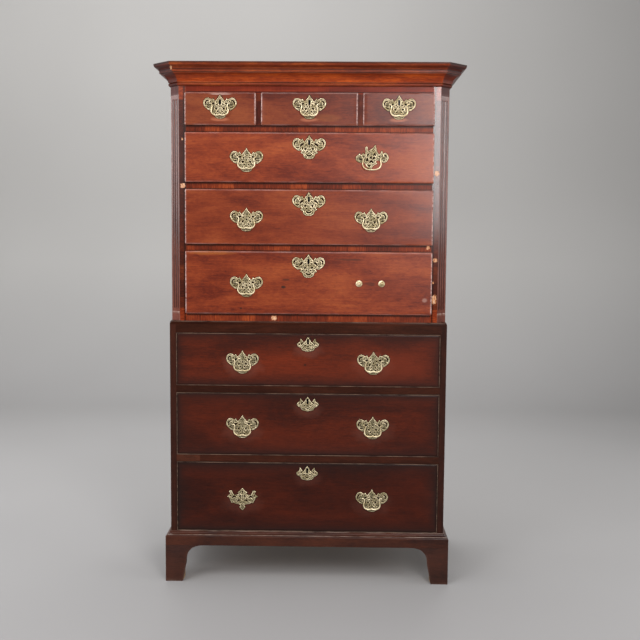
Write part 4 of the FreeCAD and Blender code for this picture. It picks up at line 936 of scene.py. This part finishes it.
def pierced(ring, cuts=(), key=None, pitch=0.85 * MM, thick=2.0 * MM, grow=0.0, bail=None):
    """Cast plate, its middle at the origin and its back on y = 0, larger all round by what it grows.

    A place belongs to the plate where the least of its distance inside the outline and outside
    every piercing is positive. Border places are moved along the slope of that distance onto the
    line, and the face rises from the rim in a quarter round. The mark "band" is 1 behind the bail.
    """
    low, high = ring.min(0), ring.max(0)
    width, height = high - low
    xs, zs = (np.arange(a - grow - pitch, b + grow + 1.5 * pitch, pitch) for a, b in zip(low, high))

    def depth_inside(x, z):
        least = ring_distance(x, z, ring) + grow
        for line, broad in cuts:
            least = np.minimum(least, stroke_distance(x, z, np.array(line) * MM, 1.4 * broad * MM, 0.4))
        if key is not None:
            for line, broad in KEYHOLE:
                place = np.array(line) * MM + (0, key)
                least = np.minimum(least, stroke_distance(x, z, place, broad * MM, 0))
        return least

    x, z = np.meshgrid(xs, zs, indexing="ij")
    shape = x.shape
    flat_x, flat_z = x.ravel(), z.ravel()
    level = depth_inside(flat_x, flat_z)
    centre = level.reshape(shape)
    middle = (centre[1:, 1:] + centre[:-1, 1:] + centre[1:, :-1] + centre[:-1, :-1]) / 4
    keep = middle > 0
    touched = sum(np.pad(keep, ((i, 1 - i), (j, 1 - j))).astype(int) for i in (0, 1) for j in (0, 1))
    border = ((touched > 0) & (touched < 4)).ravel()
    for _ in range(3):
        bx, bz = flat_x[border], flat_z[border]
        here = depth_inside(bx, bz)
        step = 0.1 * MM
        gx = (depth_inside(bx + step, bz) - depth_inside(bx - step, bz)) / (2 * step)
        gz = (depth_inside(bx, bz + step) - depth_inside(bx, bz - step)) / (2 * step)
        size = np.maximum(gx ** 2 + gz ** 2, 0.25)
        move = np.clip(here / size, -0.7 * pitch, 0.7 * pitch)
        flat_x[border] = bx - move * gx
        flat_z[border] = bz - move * gz
    inset = np.where(border, 0.0, np.maximum(level, 0)).reshape(shape)
    edge = min(1.0 * MM, thick / 2)
    fall = edge - np.sqrt(np.maximum(edge ** 2 - (edge - np.minimum(inset, edge)) ** 2, 0))
    swell = 0.25 * thick * np.exp(-((x / (0.20 * width)) ** 2 + (z / (0.3 * height)) ** 2))
    front = -thick + fall - swell * (inset > 0)
    behind = np.zeros(shape)
    # The mark "band" carries a painted shadow of the bail onto the plate.
    if bail is not None:
        bar = np.array([(side * x, z) for side in (-1, 1) for x, z, _ in bail[::-side]])
        bar = bar[np.append(True, np.abs(np.diff(bar[:, 0])) > 0)] * MM + (0, PLATE_DROP)
        away = stroke_distance(flat_x, flat_z, bar, 0.0)
        behind = np.exp(-(away / (4.6 * MM)) ** 2).reshape(shape)
    return slab(flat_x.reshape(shape), flat_z.reshape(shape), front, 0.0, keep,
                {"rim": np.clip(inset / (6 * MM), 0, 1), "worn": 0 * x, "band": behind})


def turned(profile, count=20):
    """Profile of (radius, distance out from the drawer face) turned about the Y axis."""
    profile = np.asarray(profile, float)
    angle = np.arange(count) * 2 * math.pi / count
    r, out = profile[:, 0, None], profile[:, 1, None]
    rings = np.stack([r * np.cos(angle), -out + 0 * angle, r * np.sin(angle)], -1)
    return swept(rings * MM)


def hanging_bar(knots, steps=8, count=14):
    """Round bar whose middle line is a smooth curve in the X-Z plane through (x, z, radius)
    knots, mirrored on the middle; the section turns square to the line."""
    right = np.array(knots, float)
    half = right[np.abs(right[:, 0]) > 1e-6]
    whole = np.vstack([half * (-1, 1, 1), right[::-1]])
    line = smooth_line(whole, steps) * MM
    along = np.gradient(line[:, :2], axis=0)
    along /= np.linalg.norm(along, axis=1, keepdims=True)
    angle = np.arange(count) * 2 * math.pi / count
    radius = np.maximum(line[:, 2], 0.3 * MM)[:, None]
    rings = np.empty((len(line), count, 3))
    rings[..., 0] = line[:, 0, None] - along[:, 1, None] * radius * np.sin(angle)
    rings[..., 1] = radius * np.cos(angle)
    rings[..., 2] = line[:, 1, None] + along[:, 0, None] * radius * np.sin(angle)
    return swept(rings)


# Bails as (x, z, radius) from the pivot's level, and turned posts and knobs as (radius, distance
# out from the face), in millimetres.
SWAN = [(44.5, 0, 1.7), (36, 0, 1.8), (30.6, -0.2, 1.9), (27.6, -3.4, 2.0), (26.8, -8.6, 2.0),
        (28.0, -14.5, 2.1), (29.8, -21, 2.1), (29.6, -28, 2.2), (26.0, -34.6, 2.4), (19.5, -38.8, 2.6),
        (13, -40.4, 2.8), (6.5, -39.8, 2.9), (0, -38.2, 2.8)]
PLAIN = [(44.5, 0, 1.7), (38, 0, 1.8), (33, -0.4, 1.9), (31, -4, 2.0), (31.2, -10, 2.1),
         (32.8, -20, 2.1), (31.6, -28, 2.1), (26.5, -35.5, 2.1), (18, -40.2, 2.1), (9, -41.8, 2.2),
         (0, -42, 2.2)]
POST = [(0, 0), (4.6, 0.02), (4.6, 0.9), (2.9, 1.6), (2.6, 3.6), (3.2, 4.7), (4.0, 6.0), (4.2, 8.0),
        (3.8, 10.0), (2.6, 11.5), (1.0, 12.3), (0, 12.4)]
KNOB = [(0, 0), (10.6, 0.02), (11.6, 0.5), (11.9, 1.2), (11.4, 2.0), (9.0, 3.0), (6.6, 3.9),
        (5.6, 5.2), (5.7, 7.0), (5.2, 8.9), (3.6, 10.4), (1.6, 10.95), (0, 11)]


def moved(shape, x, y, z):
    """Shape shifted by x, y and z."""
    points, faces, marks = shape
    return points + (x, y, z), faces, marks


def lock_case(x, z_top, y):
    """Iron lock let in behind the front: a box whose back edges are bevelled."""
    half, tall, thick, bevel = 28 * MM, 44 * MM, 10 * MM, 1.0 * MM

    def ring(inset, depth):
        left, right = x - half + inset, x + half - inset
        foot, top = z_top - tall + inset, z_top - inset
        around = (left, foot), (right, foot), (right, top), (left, top)
        return [(across, y + depth, height) for across, height in around]

    return swept(np.array([ring(0, 0), ring(0, thick - bevel), ring(bevel, thick)]))


def fit_brass(finishes):
    """Plates, posts, knobs, black films of painted shade behind the plates and locks of the nine
    drawers, and the bails."""
    rings = {"winged": mirrored_ring(WINGED, 118 * MM, 84 * MM),
             "plate": mirrored_ring(SPIKED, 112 * MM, 84 * MM),
             "small": mirrored_ring(SMALL, 78 * MM, 53 * MM),
             "odd": smooth_line(np.array(ODD) / 100 * (59 * MM, 42 * MM), 4, closed=True)}
    key, small_key = 19 * MM, 12.5 * MM
    plates = {"winged": pierced(rings["winged"], WINGED_CUTS, bail=SWAN),
              "short": pierced(rings["winged"], WINGED_CUTS, key, bail=SWAN),
              "key": pierced(rings["winged"], WINGED_CUTS, key),
              "plate": pierced(rings["plate"], SPIKED_CUTS),
              "small": pierced(rings["small"], SMALL_CUTS, small_key),
              "odd": pierced(rings["odd"], [(line, 1.25 * broad) for line, broad in ODD_CUTS], bail=PLAIN)}
    behind = {"winged": ("winged", None), "plate": ("plate", None), "odd": ("odd", None),
              "key": ("winged", key), "small": ("small", small_key)}
    # Black films a little larger than the plates: painted shade in the piercings and keyholes, and a thin
    # painted shadow round each plate.
    films = {kind: pierced(rings[ring], key=hole, pitch=1.7 * MM, thick=0.25 * MM, grow=1.5 * MM)
             for kind, (ring, hole) in behind.items()}
    films["short"] = films["key"]
    post, knob = turned(POST), turned(KNOB)
    post[2]["rim"] = np.full(len(post[0]), 0.38)
    special = {("lower_bottom", -1): "plate", ("upper_bottom", 1): "knobs", ("upper_top", 1): "odd"}
    for name in LOWER_DRAWERS + LONG_DRAWERS + SHORT_DRAWERS:
        low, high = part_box(f"{name}_drawer_front")
        lipped, short = not name.startswith("lower"), name.startswith("short")
        face = UPPER_FACE - UPPER_PROUD - 0.3 * MM if lipped else LOWER_FACE
        opening_top = high.z - 5 * MM if lipped else high.z + 1 * MM
        opening_low = low.z + 5 * MM if lipped else low.z - 0.4 * MM
        key_z = opening_top - 27 * MM
        middle = (low.x + high.x) / 2
        pivot = key_z - 10 * MM if short else (opening_top + opening_low) / 2
        reach = UPPER_REACH if lipped else LOWER_REACH
        parts, shade_films = [], []

        def hang(kind, x, z):
            parts.append(moved(plates[kind], x, face, z))
            shade_films.append(moved(films[kind], x, face, z))

        def pair(shape, x, y):
            parts.extend(moved(shape, x + side * POST_REACH, y, pivot) for side in (-1, 1))

        if short:
            hang("short", middle, pivot - PLATE_DROP)
            pair(post, middle, face - 2 * MM)
        else:
            for side in (-1, 1):
                kind = special.get((name, side), "winged")
                if kind == "knobs":
                    pair(knob, side * reach, face)
                    continue
                hang(kind, side * reach, pivot - PLATE_DROP)
                if kind != "plate":
                    pair(post, side * reach, face - 2 * MM)
            hang(*("key", middle, key_z - key) if lipped else ("small", middle, key_z - small_key))
        inside = UPPER_FACE + UPPER_BOARD if lipped else LOWER_FACE + LOWER_BOARD
        body, node = f"{name}_drawer", f"{name}_drawer_brass"
        dress(f"{name}_wax", join(shade_films), finishes["shade_films"], body, 30)
        lock = lock_case(middle, opening_top - 4 * MM, inside)
        dress(f"{name}_lock", lock, finishes["lock"], body, 30, node)
        brass = finishes["upper" if lipped else "lower"]
        dress(f"{name}_plates", join(parts), brass, body, 50, node)
    for node in sorted(n for n in NODES if "_bail" in n):
        low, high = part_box(node)
        bar = hanging_bar(PLAIN if node == "upper_top_bail_right" else SWAN)
        y = LOWER_FACE - 10 * MM if node.startswith("lower") else UPPER_FACE - UPPER_PROUD - 10.3 * MM
        points, faces, marks = moved(bar, (low.x + high.x) / 2, y, high.z - 1.6 * MM)
        shape = (points, faces, dict(marks, rim=np.ones(len(points))))
        dress(f"{node}_bar", shape, finishes["bail"], node, 60, node)


# ---------------------------------------------------------------- studio
def studio():
    """Pale seamless floor that curves up into a wall, and soft boxes round the front half."""
    turn = np.linspace(0, math.pi / 2, 16)
    bend = 1.6
    curve = np.stack([3.2 + bend * np.sin(turn), bend * (1 - np.cos(turn))], -1)
    section = np.vstack([(-15.0, 0.0), curve, (4.8, 7.0)])
    x, y = np.meshgrid(np.linspace(-15, 15, 7), section[:, 0])
    points = np.stack([x, y, np.broadcast_to(section[:, 1:], x.shape)], -1).reshape(-1, 3)
    mesh = bpy.data.meshes.new("studio_sweep")
    mesh.from_pydata(points.tolist(), [], weave(*x.shape).tolist())
    mesh.polygons.foreach_set("use_smooth", np.ones(len(mesh.polygons), bool))
    f = Finish("pale_paper")
    f.set(Specular_IOR_Level=0.2)
    cloud = f.noise((0.5, 0.5, 0.5), detail=2.0)
    paper = f.ramp(cloud, (0.3, (0.455, 0.445, 0.43)), (0.7, (0.485, 0.475, 0.46)))
    # The floor is painted darker than the wall: a painted shade.
    paper = f.shade(f.ramp(f.z, (0.0, 1.0), (1.6, 0.0)), paper, (0.80, 0.80, 0.82))
    mesh.materials.append(f.done(paper, 0.8))
    floor = bpy.data.objects.new("studio_sweep", mesh)
    bpy.context.scene.collection.objects.link(floor)

    world = bpy.context.scene.world or bpy.data.worlds.new("studio")
    bpy.context.scene.world = world
    world.use_nodes = True
    sky = world.node_tree.nodes["Background"]
    sky.inputs["Color"].default_value = (0.95, 0.97, 1.0, 1)
    sky.inputs["Strength"].default_value = 0.13

    def soft_box(name, place, aim, size, radiance, tint=(1, 1, 1)):
        """Area lamp that sends out this radiance: its power is radiance times pi times its area."""
        lamp = bpy.data.lights.new(name, "AREA")
        lamp.shape = "RECTANGLE"
        lamp.size, lamp.size_y = size
        lamp.energy = radiance * math.pi * size[0] * size[1]
        lamp.color = tint
        holder = bpy.data.objects.new(name, lamp)
        bpy.context.scene.collection.objects.link(holder)
        holder.location = place
        holder.rotation_euler = (Vector(aim) - Vector(place)).to_track_quat("-Z", "Y").to_euler()

    soft_box("left_box", (-2.7, -3.6, 3.3), (0, -0.2, 1.0), (1.8, 1.8), 7.0, (0.98, 0.98, 1))
    soft_box("right_box", (1.20, -3.9, 2.22), (0.1, -0.2, 1.4), (1.1, 1.8), 11.5, (1, 0.97, 0.97))
    soft_box("top_box", (0.0, -2.6, 3.9), (0, -0.1, 1.0), (3.2, 1.4), 3.8)
    soft_box("left_wall", (-3.3, -1.0, 1.5), (0, -0.4, 1.3), (3.4, 2.8), 2.1, (0.97, 0.98, 1))
    soft_box("right_wall", (3.3, -1.0, 1.5), (0, -0.4, 1.3), (3.4, 2.8), 2.0)
    soft_box("back_box", (0.0, 2.2, 3.7), (0, 0.2, 0.9), (3.0, 1.4), 4.0)
    soft_box("wall_box", (-1.6, 1.2, 4.4), (-1.6, 4.8, 1.8), (5.0, 1.0), 9.0)


def front_camera():
    """Standing a little right of the middle at head height, looking slightly down."""
    yaw, pitch, roll = (Matrix.Rotation(angle, 3, axis)
                        for angle, axis in ((0.01673, "Z"), (-0.09253, "X"), (-0.00741, "Y")))
    turn = yaw @ pitch @ roll
    right, ahead, up = turn.col
    camera = bpy.data.cameras.new("front_camera")
    camera.lens, camera.sensor_width, camera.sensor_fit = 54.36, 36.0, "HORIZONTAL"
    camera.clip_end = 60
    holder = bpy.data.objects.new("front_camera", camera)
    bpy.context.scene.collection.objects.link(holder)
    holder.matrix_world = Matrix.Translation((0.1012, -3.7158, 1.2955)) @ Matrix(
        [[right[k], up[k], -ahead[k]] for k in range(3)]).to_4x4()
    bpy.context.scene.camera = holder


# ---------------------------------------------------------------- assembly
# Places below are (x, z) in the front plane, sizes are half widths, and tones are linear.
GRIME, RUBBED, LIP_WEAR_AND_HIGHLIGHT = (0.020, 0.010, 0.006), (0.42, 0.13, 0.06), (0.72, 0.52, 0.47)
SCUFF, AMBER_AND_HIGHLIGHT = (0.44, 0.27, 0.22), (0.40, 0.12, 0.025)
LOWER_HALO, PAINTED_SHEEN = (0.150, 0.050, 0.034), (0.155, 0.024, 0.009)
BANDING = ((0.070, 0.013, 0.006), (0.160, 0.024, 0.008), (0.36, 0.068, 0.016))
# On the lips the pale worn tone is rubbed wear and, strongest on their upright sides, a painted highlight.
LIPPED_WEAR_AND_HIGHLIGHT = dict(worn=0.8, worn_tone=LIP_WEAR_AND_HIGHLIGHT, bloom=0.1)
QUIET = dict(contrast=0.6, bloom=0.05)


def keyhole(x, z):
    """Patch of painted shade that blackens the inside of a keyhole."""
    return [((x, z - 0.003), (0.014, 0.024), 1.0, (0.006, 0.003, 0.002))]


long_woods = {
    "upper_top": dict(shift=(1.3, 0, 0.5), contrast=0.6, figure=0.4, patches=keyhole(0, 1.614)),
    "upper_middle": dict(shift=(2.1, 0, 0.2), contrast=0.55, patches=keyhole(0, 1.413)),
    "upper_bottom": dict(shift=(3.7, 0, 0.9), contrast=0.75, stain=0.9, figure=0.4, patches=[
        *keyhole(0, 1.192), ((-0.090, 1.091), (0.011, 0.007), 0.9, GRIME),
        ((-0.243, 1.013), (0.005, 0.004), 0.9, GRIME), ((-0.080, 1.118), (0.016, 0.004), 0.6, GRIME),
        ((-0.355, 1.2125), (0.095, 0.009), 0.5, AMBER_AND_HIGHLIGHT), ((0.150, 1.191), (0.060, 0.005), 0.5, GRIME),
        ((0.225, 1.104), (0.020, 0.009), 0.45, GRIME), ((0.418, 1.047), (0.011, 0.010), 0.45, SCUFF)])}
for drawer, share in zip(LONG_DRAWERS, (1.08, 0.96, 1.14)):
    wood = mahogany(f"{drawer}_mahogany", *toned(UPPER, share), **LIPPED_WEAR_AND_HIGHLIGHT, **long_woods[drawer])
    lipped_front(drawer, wood)

short_patches = []
for x in (-0.31725, 0.0, 0.31725):
    short_patches += [((x, 1.686), (0.036, 0.009), 0.7, RUBBED)] + keyhole(x, 1.754)
# On the middle short drawer the amber patch is a painted highlight.
short_patches += [((-0.318, 1.7735), (0.046, 0.0035), 0.75, SCUFF),
                  ((0.062, 1.693), (0.060, 0.016), 0.22, AMBER_AND_HIGHLIGHT)]
short_wood = mahogany("short_front_mahogany", *toned(UPPER, 0.74), shift=(0.3, 0, 0.1), contrast=0.6,
                      figure=0.4, patches=short_patches, **LIPPED_WEAR_AND_HIGHLIGHT)
for drawer in SHORT_DRAWERS:
    lipped_front(drawer, short_wood)

# Heights of the plates and of the keyhole plates on the lower drawers.
lower_plates = {"lower_bottom": (0.308, 0.4075), "lower_middle": (0.579, 0.6645),
                "lower_top": (0.817, 0.8835)}
for drawer, share in zip(LOWER_DRAWERS, (0.62, 0.92, 1.30)):
    z, key = lower_plates[drawer]
    halo = tuple(share * v for v in LOWER_HALO)
    patches = [((x, z - 0.012), (0.085, 0.055), 0.35, halo) for x in (-LOWER_REACH, LOWER_REACH)]
    patches += [((0, key - 0.02), (0.06, 0.035), 0.3, halo)] + keyhole(0, key + 0.0125)
    if drawer == "lower_top":
        # A painted sheen on the right of the top lower drawer.
        patches += [((0.28, 0.80), (0.17, 0.07), 0.55, PAINTED_SHEEN),
                    ((-0.010, 0.808), (0.006, 0.004), 0.8, GRIME)]
    beaded_front(drawer, mahogany(f"{drawer}_mahogany", *toned(LOWER, share), shift=(share * 4, 0, share),
                                  gloss=0.30, coat=0.04, shine=0.14, border=0.85, worn=0.75,
                                  worn_tone=(0.30, 0.19, 0.13), patches=patches, **QUIET))

# Past the mitre between the front and a canted corner, which leans back by the tangent of half an
# eighth turn, the cornice is darkened by painted shade.
LEAN = math.tan(math.pi / 8)
CANTED_SHADE = (LEAN, UPPER_HALF - CANT + LEAN * UPPER_FACE, (0.36, 0.30, 0.36))
cornice(mahogany("cornice_mahogany", (0.085, 0.017, 0.008), (0.180, 0.030, 0.010), (0.36, 0.075, 0.015),
                 shift=(5.1, 0, 0), coat=0.03, shine=0.14, bloom=0.05, border=0.8, worn=0.25,
                 worn_tone=(0.34, 0.19, 0.14), chips=[((-0.486, 1.860), (0.004, 0.006))], ends=CANTED_SHADE,
                 # The cove is painted lighter, the top fillet painted darker, and the top of the bead carries
                 # a thin painted highlight.
                 strips=[(1.8160, 1.8445, (1.45, 1.2, 0.8)), (1.8745, 1.9, (0.38, 0.5, 0.7)),
                         (1.8146, 1.8161, (2.2, 4.5, 9.0))]))
waist(mahogany("waist_mahogany", (0.019, 0.0055, 0.0034), (0.034, 0.0090, 0.0042), (0.060, 0.0135, 0.0055),
               shift=(0.7, 0, 0), coat=0.0, shine=0.06, worn=0.3, worn_tone=(0.30, 0.20, 0.15), **QUIET))
base(mahogany("base_mahogany", (0.030, 0.010, 0.007), (0.058, 0.017, 0.009), (0.095, 0.025, 0.012),
              shift=(1.9, 0, 0), coat=0.04, shine=0.18, border=0.6, worn=0.9,
              worn_tone=(0.36, 0.27, 0.22), **QUIET))
feet(mahogany("feet_mahogany", (0.026, 0.010, 0.007), (0.048, 0.016, 0.010), (0.072, 0.022, 0.012),
              shift=(2.9, 0, 0), contrast=0.5, gloss=0.36, coat=0.0, shine=0.2, worn=0.45,
              worn_tone=(0.20, 0.12, 0.09)))

# A post's polish is nearly whole from the height given here upward.
post_fade = {"left": 1.40, "right": 1.32}
post_chips = {"left": [((-0.452, 1.4515), (0.009, 0.0080)), ((-0.4535, 1.616), (0.003, 0.004))],
              "right": [((0.4555, 1.500), (0.008, 0.009)), ((0.4545, 1.191), (0.008, 0.0065)),
                        ((0.449, 1.110), (0.003, 0.004)), ((0.4535, 1.050), (0.008, 0.016))]}
canted_posts({side: mahogany(f"{side}_post_mahogany", (0.092, 0.028, 0.019), (0.152, 0.047, 0.031),
                             (0.210, 0.068, 0.045), along="z", shift=(0, 0, 1.3), contrast=0.6, gloss=0.20,
                             coat=0.42, shine=0.68, border=0.7, worn=0.7, worn_tone=(0.48, 0.36, 0.30),
                             chips=chips, banded=toned(BANDING, 1.2),
                             fade=((1.02, 0.04), (1.21, 0.22), (post_fade[side], 0.72), (1.56, 0.95)))
              for side, chips in post_chips.items()})
fit_brass({"upper": cast_brass("worn_brass", (0.96, 0.81, 0.53), (0.42, 0.325, 0.16), green=0.12),
           "lower": cast_brass("dull_brass", (0.92, 0.78, 0.51), (0.36, 0.285, 0.145), green=0.2),
           "bail": cast_brass("handled_brass", (0.98, 0.84, 0.56), (0.58, 0.46, 0.25), chased=False,
                              green=0.1),
           "lock": old_iron("lock_iron"), "shade_films": black_shade_film("painted_shade_film")})

rails = crossbanded("crossbanded_mahogany", *BANDING, [((-0.124, 0.978), (0.010, 0.008)),
                                                       ((0.4286, 1.236), (0.006, 0.007))])
lower_rail = mahogany("lower_rail_mahogany", (0.023, 0.007, 0.004), (0.038, 0.0105, 0.0052),
                      (0.064, 0.016, 0.0075), shift=(0.9, 0, 0), coat=0.03, shine=0.10,
                      pieces=[((-0.438, 0.4595), (0.044, 0.0125), (1.7, 1.9, 2.0))], **QUIET)
upper_side = mahogany("upper_side_mahogany", (0.11, 0.026, 0.014), (0.17, 0.040, 0.020), (0.24, 0.060, 0.026),
                      along="z", shine=0.28, bloom=0.05)
lower_side = mahogany("lower_side_mahogany", (0.020, 0.0068, 0.0044), (0.034, 0.010, 0.006),
                      (0.055, 0.015, 0.008), along="z", coat=0.03, shine=0.12, **QUIET)
oak = bare_wood("oak_lining", (0.24, 0.14, 0.07), (0.50, 0.34, 0.19), "y")
pine = bare_wood("old_pine", (0.22, 0.12, 0.055), (0.46, 0.29, 0.14), "x")
upper_backs = bare_wood("upper_back_pine", (0.20, 0.11, 0.05), (0.42, 0.27, 0.13), "z", (-0.489, 0.1956))
lower_backs = bare_wood("lower_back_pine", (0.16, 0.09, 0.04), (0.36, 0.22, 0.11), "z", (-0.490, 0.196))
board_finishes = {"upper_rails": rails, "lower_rails": lower_rail,
                  "upper_sides": upper_side, "lower_sides": lower_side,
                  "upper_back_boards": upper_backs, "lower_back_boards": lower_backs}
for node, board in NODES.items():
    board.data.materials.clear()
    board.data.materials.append(board_finishes.get(node, oak if node.endswith("_lining") else pine))

studio()
front_camera()
bpy.context.scene.view_settings.view_transform = "Standard"
